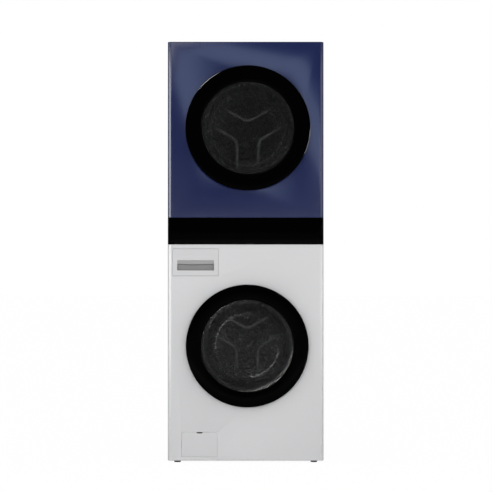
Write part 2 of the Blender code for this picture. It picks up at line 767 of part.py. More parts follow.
def make_latch(axis, liner):
    """The sprung hook at the right of the washer door, and the hole that it stands in."""
    x = axis.x + LATCH_REACH
    hook_pivot = pivot("washer_latch_axis", (x, LATCH_Y, axis.z))
    half = LATCH_WIDTH / 2
    hook = add_object("washer_door_latch", block_mesh(
        "washer_door_latch", (-half, -half, -LATCH_HALF_HEIGHT),
        (half, LATCH_END_Y - LATCH_Y, LATCH_HALF_HEIGHT)), "grey_plastic", hook_pivot,
        (x, LATCH_Y, axis.z))
    nose = LATCH_END_Y - LATCH_Y - LATCH_NOSE
    join(hook, block_mesh("nose", (-half, nose, -LATCH_HALF_HEIGHT - LATCH_NOSE_DROP),
                          (half, LATCH_END_Y - LATCH_Y, LATCH_HALF_HEIGHT - LATCH_NOSE_DROP)))
    cut(liner, block_mesh("hook_hole", (LATCH_REACH - half - LATCH_ROOM, LATCH_Y - LATCH_SWING,
                                        -LATCH_HOLE_HALF),
                          (LATCH_REACH + half + LATCH_SWING, FRONT_Y, LATCH_HOLE_HALF)))


def make_lock(axis):
    x = axis.x + LATCH_REACH
    lock = add_object("washer_door_lock", block_mesh(
        "washer_door_lock", (x + LOCK_X[0], PANEL_BACK_Y, axis.z - LOCK_HALF_HEIGHT),
        (x + LOCK_X[1], PANEL_BACK_Y + LOCK_DEPTH, axis.z + LOCK_HALF_HEIGHT)), "grey_plastic")
    cut(lock, block_mesh("slot", (x - LATCH_SLOT, PANEL_BACK_Y - REACH, axis.z - LOCK_SLOT_HALF),
                         (x + LATCH_SLOT + LOCK_SLOT_EXTRA, PANEL_BACK_Y + LOCK_SLOT_DEPTH,
                          axis.z + LOCK_SLOT_HALF)))


def make_door(kind, axis, ring_radius, glass, rear_y, rear_radius):
    carrier = pivot(kind + "_door_axis", (hinge_x(axis, ring_radius), HINGE_Y, axis.z))
    make_ring(kind + "_door_ring", axis, ring_radius, carrier)
    make_window(kind + "_door_window", axis, carrier)
    liner = make_liner(kind + "_door_liner", axis, ring_radius, carrier)
    make_inner_glass(glass, axis, carrier, rear_y, rear_radius)
    make_hinge(kind + "_door_hinge", axis, ring_radius, carrier)
    make_bracket(kind + "_hinge_bracket", axis, ring_radius)
    return liner


# ---------------------------------------------------------------- drums
def star_height(x, z, reach):
    """How far the three-armed star stands out of the drum's back at a point."""
    radius = math.hypot(x, z)
    rise = 0.0
    for arm in range(3):
        angle = -TURN / 4 + arm * TURN / 3
        along = x * math.cos(angle) + z * math.sin(angle)
        across = abs(-x * math.sin(angle) + z * math.cos(angle))
        if along > 0:
            rise = max(rise, min(1.0, max(0.0, (STAR_ARM_HALF + STAR_EDGE - across) / STAR_EDGE)))
    fade = min(1.0, max(0.0, (reach - radius) / (4 * STAR_EDGE)))
    return STAR_RELIEF * rise * fade


def make_drum_back(name, axis, radius, back_y, shaft, shaft_end, carrier):
    """A pressed disc: a spun radial line, raised into a star, with the shaft behind it."""
    rings, inner = STAR_RINGS, STAR_MIDDLE
    bm = bmesh.new()
    verts = [bm.verts.new((inner + (radius - inner) * i / rings, 0, 0)) for i in range(rings + 1)]
    line = [bm.edges.new(pair) for pair in zip(verts, verts[1:])]
    bmesh.ops.spin(bm, geom=verts + line, cent=(0, 0, 0), axis=(0, 1, 0), angle=TURN,
                   steps=ROUND_BIG, use_merge=True)
    bmesh.ops.remove_doubles(bm, verts=bm.verts, dist=1e-5)
    rim = [edge for edge in bm.edges if edge.is_boundary
           and all(vert.co.length < inner * 1.5 for vert in edge.verts)]
    bmesh.ops.contextual_create(bm, geom=rim)
    for vert in bm.verts:
        vert.co.y = back_y - star_height(vert.co.x, vert.co.z, STAR_REACH)
    bmesh.ops.recalc_face_normals(bm, faces=bm.faces)
    bm.faces.ensure_lookup_table()
    if bm.faces[0].normal.y > 0:
        bmesh.ops.reverse_faces(bm, faces=bm.faces)
    mesh = bpy.data.meshes.new(name)
    bm.to_mesh(mesh)
    bm.free()
    back = add_object(name, mesh, "drum_steel", carrier, (axis.x, 0.0, axis.z))
    skin = back.modifiers.new("sheet", "SOLIDIFY")
    skin.thickness = DRUM_WALL
    skin.offset = -1.0
    baked(back)
    join(back, rod_mesh("shaft", (0, 0, 0), shaft, back_y - STAR_RELIEF + DRUM_WALL / 2, shaft_end,
                        facets=ROUND_SMALL))


def lifter_mesh(radius, start, end, angle, wall=0.0):
    """A ridge along the drum: a tapered section whose foot follows the drum's wall.

    With a wall it is the hollow inside that ridge, open through the drum's wall.
    """
    foot = radius - DRUM_WALL / 2
    half, top_half = LIFTER_HALF - 2 * wall, LIFTER_TOP_HALF - wall
    side = math.sqrt(foot ** 2 - half ** 2)
    crest = radius - LIFTER_HEIGHT + wall
    section = [(-half, side), (0.0, foot), (half, side), (top_half, crest + LIFTER_CHAMFER),
               (0.0, crest), (-top_half, crest + LIFTER_CHAMFER)]
    if wall:
        section[:3] = [(-half, radius + wall), (0.0, radius + 2 * wall), (half, radius + wall)]
    bm = bmesh.new()
    turn = Matrix.Rotation(angle, 4, "Y")
    face = bm.faces.new([bm.verts.new(turn @ Vector((x, start + wall, z))) for x, z in section])
    made = bmesh.ops.extrude_face_region(bm, geom=[face])
    moved = [item for item in made["geom"] if isinstance(item, bmesh.types.BMVert)]
    bmesh.ops.translate(bm, vec=(0, end - start - 2 * wall, 0), verts=moved)
    return mesh_from(bm, "lifter")


def make_drum_shell(name, axis, radius, mouth, front_y, back_y, carrier):
    rear = back_y + DRUM_WALL + DRUM_HEM
    outline = [(mouth, front_y), (radius, front_y), (radius, rear), (radius - DRUM_WALL, rear),
               (radius - DRUM_WALL, front_y + DRUM_WALL), (mouth, front_y + DRUM_WALL)]
    shell = turned(name, outline, "drum_steel", carrier, axis)
    for i in range(3):
        ends = (front_y + LIFTER_END_GAP, back_y - LIFTER_END_GAP)
        join(shell, lifter_mesh(radius, *ends, i * TURN / 3))
        cut(shell, lifter_mesh(radius, *ends, i * TURN / 3, LIFTER_WALL))


# ---------------------------------------------------------------- washer inside
def make_tub(carrier):
    """Two moulded halves, bolted at their flanges, with ears for the springs and the dampers."""
    outer = TUB_INNER + TUB_WALL
    bore = WASHER_SHAFT + SHAFT_CLEAR
    split = GAP / 2
    rear = turned("tub_rear", [
        (bore, HUB_FRONT_Y), (HUB_RADIUS, HUB_FRONT_Y), (HUB_RADIUS, TUB_REAR_Y - TUB_WALL),
        (TUB_INNER, TUB_REAR_Y - TUB_WALL), (TUB_INNER, TUB_SPLIT_Y + split),
        (TUB_FLANGE, TUB_SPLIT_Y + split), (TUB_FLANGE, TUB_SPLIT_Y + FLANGE_THICK),
        (outer, TUB_SPLIT_Y + FLANGE_THICK), (outer, TUB_REAR_Y), (HUB_RADIUS, TUB_REAR_Y),
        (HUB_RADIUS, HUB_REAR_Y), (bore, HUB_REAR_Y)], "tub_plastic", carrier, WASHER_AXIS)
    for side in (-1, 1):
        reach = sorted((side * (outer - EAR_ROOT), side * (EAR_X + EAR_HALF)))
        join(rear, block_mesh("ear", (reach[0], EAR_Y - EAR_HALF, EAR_Z),
                              (reach[1], EAR_Y + EAR_HALF, EAR_Z + EAR_THICK)))
        x = side * FOOT_EAR_X
        join(rear, block_mesh("foot_ear", (x - EAR_HALF, EAR_Y - EAR_HALF, FOOT_EAR_Z),
                              (x + EAR_HALF, EAR_Y + EAR_HALF, FOOT_EAR_Z + FOOT_EAR_HEIGHT)))
    cut(rear, rod_mesh("inside", (0, 0, 0), TUB_INNER, TUB_SPLIT_Y - REACH,
                       TUB_REAR_Y - 2 * TUB_WALL, facets=ROUND_BIG))
    turned("tub_front", [
        (TUB_INNER, TUB_SPLIT_Y - split), (TUB_FLANGE, TUB_SPLIT_Y - split),
        (TUB_FLANGE, TUB_SPLIT_Y - FLANGE_THICK), (outer, TUB_SPLIT_Y - FLANGE_THICK),
        (outer, TUB_FRONT_Y), (TUB_MOUTH + TUB_WALL, TUB_FRONT_Y),
        (TUB_MOUTH + TUB_WALL, TUB_FRONT_Y - TUB_NECK), (TUB_MOUTH, TUB_FRONT_Y - TUB_NECK),
        (TUB_MOUTH, TUB_FRONT_Y + TUB_WALL), (TUB_INNER, TUB_FRONT_Y + TUB_WALL)],
        "tub_plastic", carrier, WASHER_AXIS)


def make_counterweight(carrier):
    """A cast arc on the tub's front, over the door: a rectangle spun about the drum's axis."""
    rear = TUB_FRONT_Y - GAP
    bm = bmesh.new()
    turn = Matrix.Rotation(-WEIGHT_SPAN / 2, 4, "Y")
    corners = [(WEIGHT_INNER, rear), (WEIGHT_OUTER, rear), (WEIGHT_OUTER, rear - WEIGHT_DEPTH),
               (WEIGHT_INNER, rear - WEIGHT_DEPTH)]
    face = bm.faces.new([bm.verts.new(turn @ Vector((0, y, r))) for r, y in corners])
    bmesh.ops.spin(bm, geom=[face], cent=(0, 0, 0), axis=(0, 1, 0), angle=WEIGHT_SPAN, steps=12)
    bmesh.ops.remove_doubles(bm, verts=bm.verts, dist=1e-5)
    add_object("counterweight", mesh_from(bm, "counterweight"), "concrete", carrier,
               (WASHER_AXIS.x, 0.0, WASHER_AXIS.z))


def make_washer_motor(tub_carrier, drum_carrier):
    seat = TUB_REAR_Y + GAP
    bore = HUB_RADIUS + GAP
    turned("motor_stator", [
        (bore, seat), (bore + STATOR_BOSS, seat), (bore + STATOR_BOSS, seat + STATOR_SEAT),
        (STATOR_RADIUS, seat + STATOR_SEAT), (STATOR_RADIUS, seat + STATOR_DEPTH),
        (bore, seat + STATOR_DEPTH)], "copper_winding", tub_carrier, WASHER_AXIS)
    rim = ROTOR_RADIUS - ROTOR_WALL
    front = seat + ROTOR_SEAT
    turned("motor_rotor", [
        (WASHER_SHAFT + GAP, ROTOR_REAR_Y), (ROTOR_RADIUS, ROTOR_REAR_Y), (ROTOR_RADIUS, front),
        (rim, front), (rim, ROTOR_REAR_Y - ROTOR_WALL),
        (WASHER_SHAFT + GAP, ROTOR_REAR_Y - ROTOR_WALL)], "galvanised", drum_carrier, WASHER_AXIS)


def make_suspension():
    ear_top = WASHER_AXIS.z + EAR_Z + EAR_THICK + GAP
    hook = DECK_TOP_Z - DECK_SKIRT - GAP
    ear_bottom = WASHER_AXIS.z + FOOT_EAR_Z - GAP
    for side, word in ((-1, "left"), (1, "right")):
        x = WASHER_AXIS.x + side * EAR_X
        add_object("tub_spring_" + word, rod_mesh("spring", (0, 0, 0), SPRING_RADIUS,
                   ear_top, hook, "Z"), "galvanised", None, (x, EAR_Y, 0.0))
        x = WASHER_AXIS.x + side * FOOT_EAR_X
        add_object("tub_damper_" + word, rod_mesh("damper", (0, 0, 0), DAMPER_RADIUS,
                   PAN_FLOOR_Z, ear_bottom, "Z"), "grey_plastic", None, (x, EAR_Y, 0.0))


def make_gasket():
    """The bellows: a seat in the front panel's opening, one deep fold and a cuff on the tub."""
    half = GASKET_WALL / 2
    seat = PANEL_OPENING_RADIUS - 2 * GAP - half
    cuff = TUB_MOUTH + TUB_WALL + GAP + half
    neck_y = TUB_FRONT_Y - TUB_NECK
    radii = (seat, seat, seat - GASKET_FOLD, seat - GASKET_FOLD, seat, seat)
    path = [(radius, FRONT_Y + step) for radius, step in zip(radii, GASKET_STEPS)]
    path += [(cuff, neck_y + step) for step in CUFF_REACH]
    turned("door_gasket", ribbon(path, GASKET_WALL), "rubber", None, WASHER_AXIS)


def make_pump():
    turned("drain_pump", [
        (PUMP_BORE, PUMP_FRONT_Y), (PUMP_RADIUS, PUMP_FRONT_Y), (PUMP_RADIUS, PUMP_REAR_Y),
        (0.0, PUMP_REAR_Y), (0.0, FILTER_END_Y + FILTER_END_ROOM),
        (PUMP_BORE, FILTER_END_Y + FILTER_END_ROOM)],
        "grey_plastic", None, (PUMP_X, 0, PUMP_Z), ROUND_SMALL)
    pump = bpy.data.objects["drain_pump"]
    join(pump, block_mesh("foot", (-PUMP_FOOT_HALF, PUMP_FOOT_Y[0], PAN_FLOOR_Z - PUMP_Z),
                          (PUMP_FOOT_HALF, PUMP_FOOT_Y[1], PUMP_FOOT_TOP)))


def make_drain_filter():
    carrier = pivot("drain_filter_axis", (PUMP_X, 0.0, PUMP_Z))
    seat = PUMP_FRONT_Y - GAP
    turned("drain_filter", [
        (0.0, seat - FILTER_HEAD_THICK), (FILTER_HEAD, seat - FILTER_HEAD_THICK), (FILTER_HEAD, seat),
        (FILTER_RADIUS, seat), (FILTER_RADIUS, FILTER_END_Y), (0.0, FILTER_END_Y)],
        "grey_plastic", carrier, (PUMP_X, 0, PUMP_Z), ROUND_SMALL)
    join(bpy.data.objects["drain_filter"], block_mesh(
        "grip", (-FILTER_GRIP_HALF, FILTER_FRONT_Y, -FILTER_GRIP),
        (FILTER_GRIP_HALF, seat - FILTER_GRIP_ROOT, FILTER_GRIP)))


def spigot_places():
    low, high = VALVE_X
    return (low + SPIGOT_INSET, high - SPIGOT_INSET)


def make_water_valve():
    rear = REAR_Y - SHEET - GAP
    valve = add_object("water_valve", block_mesh(
        "water_valve", (VALVE_X[0], rear - VALVE_DEPTH, VALVE_Z[0]), (VALVE_X[1], rear, VALVE_Z[1])),
        "grey_plastic")
    middle = sum(VALVE_Z) / 2
    for x in spigot_places():
        join(valve, rod_mesh("spigot", (x, 0, middle), SPIGOT_RADIUS, rear - SPIGOT_ROOT, INLET_END_Y))
        cut(valve, rod_mesh("bore", (x, 0, middle), SPIGOT_RADIUS - SPIGOT_WALL,
                            REAR_Y - SPIGOT_BORE_DEPTH, INLET_END_Y + REACH))


def make_gland():
    stem = GLAND_HOLE - GAP
    inside = REAR_Y - SHEET - GLAND_TAIL
    seat = REAR_Y + GAP
    turned("power_gland", [
        (GLAND_BORE, inside), (stem, inside), (stem, seat), (stem + GLAND_FLANGE, seat),
        (stem + GLAND_FLANGE, seat + GLAND_FLANGE_THICK),
        (stem - GLAND_NOSE_TAPER, seat + GLAND_NOSE), (GLAND_BORE, seat + GLAND_NOSE)],
        "rubber", None, (GLAND_X, 0, GLAND_Z), ROUND_SMALL)


# ---------------------------------------------------------------- drawer and flap
def make_drawer():
    out = pivot("drawer_axis", (sum(DRAWER_X) / 2, FRONT_Y, sum(DRAWER_Z) / 2))
    origin = Vector(out.location)

    def about(point):
        return Vector(point) - origin

    low = (DRAWER_X[0] + CLEAR, FRONT_Y, DRAWER_Z[0] + CLEAR)
    high = (DRAWER_X[1] - CLEAR, FRONT_Y + DRAWER_FRONT_DEPTH, DRAWER_Z[1] - CLEAR)
    front = add_object("drawer_front", block_mesh("drawer_front", about(low), about(high)),
                       "white_enamel", out, origin)
    wall = DRAWER_WALL
    hollow = ((low[0] + wall, FRONT_Y + wall, low[2] + wall),
              (high[0] - wall, high[1] + REACH, high[2] - wall))
    cut(front, block_mesh("hollow", about(hollow[0]), about(hollow[1])))
    cup = ((GRIP_X[0] - wall, FRONT_Y + wall / 2, GRIP_Z[0] - wall),
           (GRIP_X[1] + wall, FRONT_Y + GRIP_DEPTH + wall, GRIP_Z[1] + wall))
    join(front, block_mesh("cup", about(cup[0]), about(cup[1])))
    grip = ((GRIP_X[0], FRONT_Y - REACH, GRIP_Z[0]), (GRIP_X[1], FRONT_Y + GRIP_DEPTH, GRIP_Z[1]))
    cut(front, block_mesh("grip", about(grip[0]), about(grip[1])))

    start = high[1] + GAP
    tray_low = (DRAWER_X[0] + TRAY_CLEAR, start, DRAWER_Z[0] + HOUSING_WALL)
    tray_high = (DRAWER_X[1] - TRAY_CLEAR, HOUSING_REAR_Y - TRAY_END_ROOM, tray_low[2] + TRAY_HEIGHT)
    pan = add_object("drawer_tray", block_mesh("drawer_tray", about(tray_low), about(tray_high)),
                     "grey_plastic", out, origin)
    for x0, x1, y0, y1 in drawer_pockets(tray_low, tray_high):
        cut(pan, block_mesh("pocket", about((x0, y0, tray_low[2] + TRAY_WALL)),
                            about((x1, y1, tray_high[2] + REACH))))


def drawer_pockets(low, high):
    """Three compartments: a long one at the left, and two short ones behind each other."""
    wall = TRAY_WALL
    split_x = low[0] + LONG_POCKET_SHARE * (high[0] - low[0])
    split_y = (low[1] + high[1]) / 2
    return [(low[0] + wall, split_x, low[1] + wall, high[1] - wall),
            (split_x + wall, high[0] - wall, low[1] + wall, split_y),
            (split_x + wall, high[0] - wall, split_y + wall, high[1] - wall)]


def make_drawer_housing():
    wall = HOUSING_WALL
    low = (DRAWER_X[0] - wall, PANEL_BACK_Y, DRAWER_Z[0] - GAP - wall)
    high = (DRAWER_X[1] + wall, HOUSING_REAR_Y, DRAWER_Z[1] + wall)
    housing = add_object("drawer_housing", block_mesh("drawer_housing", low, high), "tub_plastic")
    cut(housing, block_mesh("inside", (DRAWER_X[0], PANEL_BACK_Y - REACH, DRAWER_Z[0] - GAP),
                            (DRAWER_X[1], HOUSING_REAR_Y - wall, DRAWER_Z[1])))
    top = DRAWER_Z[0] + HOUSING_WALL - GAP
    start = FRONT_Y + DRAWER_FRONT_DEPTH + RUNNER_START
    for x in (DRAWER_X[0] + RUNNER_INSET, DRAWER_X[1] - RUNNER_INSET - RUNNER_WIDTH):
        join(housing, block_mesh("runner", (x, start, DRAWER_Z[0] - GAP - wall / 2),
                                 (x + RUNNER_WIDTH, HOUSING_REAR_Y - wall / 2, top)))


def make_flap():
    side = FLAP_SIDE_CLEAR
    axis_y = FRONT_Y + FLAP_THICK / 2
    axis_z = FLAP_Z[0] + side + FLAP_THICK / 2
    hinge = pivot("service_flap_axis", (sum(FLAP_X) / 2, axis_y, axis_z))
    half = (FLAP_X[1] - FLAP_X[0]) / 2 - side
    bm = bmesh.new()
    add_block(bm, (-half, -FLAP_THICK / 2, -FLAP_THICK / 2),
              (half, FLAP_THICK / 2, FLAP_Z[1] - side - axis_z))
    foot = [edge for edge in bm.edges if all(vert.co.z < 0 for vert in edge.verts)
            and abs(edge.verts[0].co.x - edge.verts[1].co.x) > half]
    bmesh.ops.bevel(bm, geom=foot, offset=FLAP_THICK * 0.4, segments=2, affect="EDGES",
                    profile=0.5, offset_type="OFFSET")
    flap = add_object("service_flap", mesh_from(bm, "service_flap"), "white_enamel", hinge,
                      hinge.location)
    top = FLAP_Z[1] - axis_z
    cut(flap, block_mesh("notch", (-FLAP_NOTCH_HALF, -0.01, top - side - FLAP_NOTCH_DEPTH),
                         (FLAP_NOTCH_HALF, 0.01, top + REACH)))


# ---------------------------------------------------------------- dryer inside
def roller_places():
    reach = DRYER_DRUM_RADIUS + ROLLER_RADIUS + GAP
    for side, word in ((-1, "left"), (1, "right")):
        angle = -TURN / 4 + side * ROLLER_ANGLE
        yield word, DRYER_AXIS.x + reach * math.cos(angle), DRYER_AXIS.z + reach * math.sin(angle)


def make_bulkhead():
    """The plate before the dryer's drum: throat, drum seat, roller pins, lint filter's well."""
    rear = BULKHEAD_Y + BULKHEAD_SHEET
    plate = add_object("dryer_front_bulkhead", block_mesh(
        "dryer_front_bulkhead", (-BULKHEAD_HALF, BULKHEAD_Y, BULKHEAD_LOW),
        (BULKHEAD_HALF, rear, BULKHEAD_HIGH)), "galvanised")
    centre = (DRYER_AXIS.x, 0, DRYER_AXIS.z)
    throat_start = PANEL_BACK_Y
    join(plate, rod_mesh("throat", centre, PANEL_OPENING_RADIUS + THROAT_WALL, throat_start,
                         BULKHEAD_Y + BULKHEAD_SHEET / 2, facets=ROUND_BIG))
    join(plate, rod_mesh("seat", centre, SEAT_RING, BULKHEAD_Y + BULKHEAD_SHEET / 2, SEAT_END_Y,
                         facets=ROUND_BIG))
    wall = LINT_HOUSING_WALL
    half = LINT_HALF + LINT_CLEAR
    front, back = LINT_Y[0] - LINT_CLEAR, LINT_Y[1] + LINT_CLEAR
    x = DRYER_AXIS.x
    join(plate, block_mesh("well", (x - half - wall, front - wall, LINT_FLOOR_Z - wall),
                           (x + half + wall, BULKHEAD_Y + BULKHEAD_SHEET / 2, LINT_TOP_Z + LINT_WELL_RISE)))
    cut(plate, rod_mesh("throat_bore", centre, PANEL_OPENING_RADIUS, throat_start - REACH,
                        SEAT_END_Y + REACH, facets=ROUND_BIG))
    cut(plate, rod_mesh("seat_bore", centre, SEAT_RING - SEAT_WALL, rear, SEAT_END_Y + REACH,
                        facets=ROUND_BIG))
    cut(plate, block_mesh("well_inside", (x - half, front, LINT_FLOOR_Z),
                          (x + half, back, LINT_TOP_Z + LINT_WELL_RISE + REACH)))
    for _, pin_x, pin_z in roller_places():
        join(plate, rod_mesh("pin", (pin_x, 0, pin_z), ROLLER_PIN, BULKHEAD_Y + BULKHEAD_SHEET / 2,
                             ROLLER_PIN_END, facets=ROUND_SMALL))


def make_rollers():
    for word, x, z in roller_places():
        carrier = pivot(f"drum_roller_{word}_axis", (x, 0.0, z))
        turned("drum_roller_" + word, [
            (ROLLER_BORE, ROLLER_Y[0]), (ROLLER_RADIUS, ROLLER_Y[0]), (ROLLER_RADIUS, ROLLER_Y[1]),
            (ROLLER_BORE, ROLLER_Y[1])], "rubber", carrier, (x, 0, z), ROUND_SMALL)


def make_lint_filter():
    """A framed screen that stands in its well and lifts out upwards."""
    lift = pivot("lint_filter_axis", (DRYER_AXIS.x, sum(LINT_Y) / 2, LINT_FLOOR_Z + GAP))
    depth = LINT_Y[1] - LINT_Y[0]
    height = LINT_TOP_Z - LINT_FLOOR_Z - GAP
    screen = add_object("lint_filter", block_mesh(
        "lint_filter", (-LINT_HALF, -depth / 2, 0), (LINT_HALF, depth / 2, height)),
        "grey_plastic", lift, lift.location)
    inner = LINT_HALF - LINT_FRAME
    for side in (-1, 1):
        ends = sorted((side * LINT_WEB / 2, side * (depth / 2 + REACH)))
        cut(screen, block_mesh("pocket", (-inner, ends[0], LINT_FRAME),
                               (inner, ends[1], height - 2 * LINT_FRAME)))


def make_dryer_motor():
    bore = MOTOR_SHAFT + BORE_CLEAR
    at = (MOTOR_X, 0, MOTOR_Z)
    motor = turned("dryer_motor", [
        (bore, MOTOR_Y[0]), (MOTOR_RADIUS, MOTOR_Y[0]), (MOTOR_RADIUS, MOTOR_Y[1]),
        (bore, MOTOR_Y[1])], "galvanised", None, at, ROUND_SMALL)
    join(motor, block_mesh(
        "foot", (-MOTOR_FOOT_HALF, MOTOR_Y[0] + MOTOR_FOOT_INSET, DECK_SEAT_Z - MOTOR_Z),
        (MOTOR_FOOT_HALF, MOTOR_Y[1] - MOTOR_FOOT_INSET, -MOTOR_RADIUS + MOTOR_FOOT_ROOT)))
    carrier = pivot("motor_axis", (MOTOR_X, 0.0, MOTOR_Z))
    pulley = PULLEY_RADIUS
    flange = pulley + BELT_THICK + PULLEY_FLANGE
    low, high = BELT_Y[0] - BELT_ROOM, BELT_Y[1] + BELT_ROOM
    fan_inner = FAN_RADIUS - FAN_WALL
    turned("motor_shaft", [
        (0.0, low - PULLEY_HUB), (flange, low - PULLEY_HUB), (flange, low), (pulley, low), (pulley, high),
        (flange, high), (flange, high + PULLEY_FLANGE), (MOTOR_SHAFT, high + PULLEY_FLANGE),
        (MOTOR_SHAFT, FAN_Y[0]), (FAN_RADIUS, FAN_Y[0]), (FAN_RADIUS, FAN_Y[1]),
        (fan_inner, FAN_Y[1]), (fan_inner, FAN_Y[0] + FAN_DISC), (0.0, FAN_Y[0] + FAN_DISC)],
        "galvanised", carrier, at, ROUND_MIDDLE)


def make_blower():
    at = (MOTOR_X, 0, MOTOR_Z)
    wall = BLOWER_WALL
    housing = turned("blower_housing", [
        (BLOWER_BORE, BLOWER_Y[0]), (BLOWER_RADIUS, BLOWER_Y[0]), (BLOWER_RADIUS, BLOWER_Y[1]),
        (BLOWER_INLET, BLOWER_Y[1]), (BLOWER_INLET, BLOWER_Y[1] - wall),
        (BLOWER_RADIUS - wall, BLOWER_Y[1] - wall), (BLOWER_RADIUS - wall, BLOWER_Y[0] + wall),
        (BLOWER_BORE, BLOWER_Y[0] + wall)], "tub_plastic", None, at, ROUND_MIDDLE)
    join(housing, block_mesh(
        "foot", (-BLOWER_FOOT_HALF, BLOWER_Y[0] + BLOWER_FOOT_INSET, DECK_SEAT_Z - MOTOR_Z),
        (BLOWER_FOOT_HALF, BLOWER_Y[1] - BLOWER_FOOT_INSET, -BLOWER_RADIUS + 3 * wall / 4)))


def belt_path(one, radius_one, two, radius_two, count, clear):
    """Points round two circles and their outer tangents, whose chords clear the circles."""
    way = Vector((two[0] - one[0], two[1] - one[1]))
    heading = math.atan2(way.y, way.x)
    lean = math.acos((radius_one - radius_two) / way.length)
    small = count // 4
    points = []
    for centre, radius, start, span, steps in (
            (one, radius_one, heading + lean, TURN - 2 * lean, count),
            (two, radius_two, heading - lean, 2 * lean, small)):
        reach = (radius + clear) / math.cos(span / steps / 2)
        for i in range(steps + 1):
            angle = start + span * i / steps
            points.append((centre[0] + reach * math.cos(angle), centre[1] + reach * math.sin(angle)))
    return points


def make_belt():
    drum = (DRYER_AXIS.x, DRYER_AXIS.z)
    motor = (MOTOR_X, MOTOR_Z)
    circles = (drum, DRYER_DRUM_RADIUS, motor, PULLEY_RADIUS, ROUND_BIG)
    inner = belt_path(*circles, GAP)
    outer = belt_path(*circles, GAP + BELT_THICK)
    bm = bmesh.new()
    loops = []
    for points, y in ((inner, BELT_Y[0]), (outer, BELT_Y[0]), (outer, BELT_Y[1]), (inner, BELT_Y[1])):
        loops.append([bm.verts.new((x, y, z)) for x, z in points])
    total = len(inner)
    for one, two in zip(loops, loops[1:] + loops[:1]):
        for i in range(total):
            j = (i + 1) % total
            bm.faces.new((one[i], one[j], two[j], two[i]))
    add_object("drive_belt", mesh_from(bm, "drive_belt"), "rubber")


def make_heat_pump():
    exchanger = add_object("heat_exchanger", block_mesh(
        "heat_exchanger", (EXCHANGER_X[0], EXCHANGER_Y[0], DECK_SEAT_Z),
        (EXCHANGER_X[1], EXCHANGER_Y[1], EXCHANGER_TOP)), "tub_plastic")
    wall = DUCT_WALL
    cut(exchanger, block_mesh(
        "duct", (EXCHANGER_X[0] + wall, EXCHANGER_Y[0] - REACH, DECK_SEAT_Z + wall),
        (EXCHANGER_X[1] - wall, EXCHANGER_Y[0] + DUCT_DEPTH, EXCHANGER_TOP - wall)))
    bm = bmesh.new()
    height = COMPRESSOR_TOP - DECK_SEAT_Z
    bmesh.ops.create_cone(bm, cap_ends=True, segments=ROUND_SMALL, radius1=COMPRESSOR_RADIUS,
                          radius2=COMPRESSOR_RADIUS, depth=height,
                          matrix=Matrix.Translation((0, 0, height / 2)))
    ends = [edge for edge in bm.edges if abs(edge.verts[0].co.z - edge.verts[1].co.z) < 1e-6]
    top = [edge for edge in ends if edge.verts[0].co.z > height / 2]
    bmesh.ops.bevel(bm, geom=top, offset=COMPRESSOR_CROWN, segments=2, affect="EDGES", profile=0.5,
                    offset_type="OFFSET")
    add_object("compressor", mesh_from(bm, "compressor"), "black_gloss", None,
               (COMPRESSOR_X, COMPRESSOR_Y, DECK_SEAT_Z))


# ---------------------------------------------------------------- the whole object
def make_cabinet():
    make_base_pan()
    make_side_panels()
    make_rear_panels()
    make_top_cover()
    make_middle_deck()
    make_washer_front()
    make_dryer_front()
    make_control_panel()
    make_feet()


def make_washer():
    tub = pivot("tub_axis", WASHER_AXIS)
    drum = pivot("washer_drum_axis", WASHER_AXIS)
    make_tub(tub)
    make_counterweight(tub)
    make_washer_motor(tub, drum)
    make_drum_shell("washer_drum_shell", WASHER_AXIS, WASHER_DRUM_RADIUS, WASHER_DRUM_MOUTH,
                    WASHER_DRUM_FRONT_Y, WASHER_DRUM_BACK_Y, drum)
    make_drum_back("washer_drum_back", WASHER_AXIS, WASHER_DRUM_RADIUS - DRUM_WALL - 2 * GAP,
                   WASHER_DRUM_BACK_Y, WASHER_SHAFT, ROTOR_REAR_Y + SHAFT_PROUD, drum)
    make_suspension()
    make_gasket()
    make_pump()
    make_drain_filter()
    make_water_valve()
    make_gland()
    make_drawer()
    make_drawer_housing()
    make_flap()
    liner = make_door("washer", WASHER_AXIS, WASHER_RING_RADIUS, "washer_door_bowl", BOWL_REAR_Y,
                      BOWL_REAR_RADIUS)
    make_latch(WASHER_AXIS, liner)
    make_lock(WASHER_AXIS)


def make_dryer():
    drum = pivot("dryer_drum_axis", DRYER_AXIS)
    make_drum_shell("dryer_drum_shell", DRYER_AXIS, DRYER_DRUM_RADIUS, DRYER_DRUM_MOUTH,
                    DRYER_DRUM_FRONT_Y, DRYER_DRUM_BACK_Y, drum)
    make_drum_back("dryer_drum_back", DRYER_AXIS, DRYER_DRUM_RADIUS - DRUM_WALL - 2 * GAP,
                   DRYER_DRUM_BACK_Y, DRYER_SHAFT, REAR_Y - 3 * SHEET, drum)
    make_bulkhead()
    make_rollers()
    make_lint_filter()
    make_dryer_motor()
    make_blower()
    make_belt()
    make_heat_pump()
    make_door("dryer", DRYER_AXIS, DRYER_RING_RADIUS, "dryer_door_inner_glass",
              DRYER_GLASS_REAR_Y, DRYER_GLASS_REAR_RADIUS)


clear_scene()
PARTS = new_collection("laundry_tower")
CUTTERS = new_collection("cutters")
make_cabinet()
make_washer()
make_dryer()
for part in PARTS.objects:
    if part.type == "MESH":
        part.data.shade_smooth()
        part.data.set_sharp_from_angle(angle=CREASE_ANGLE)
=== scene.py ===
"""A one-piece laundry tower: a washer below a heat-pump dryer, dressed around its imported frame."""

import math
from collections import namedtuple

import bmesh
import bpy
import numpy as np
from bpy.props import FloatProperty, FloatVectorProperty, PointerProperty
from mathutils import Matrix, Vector
from mathutils.geometry import tessellate_polygon


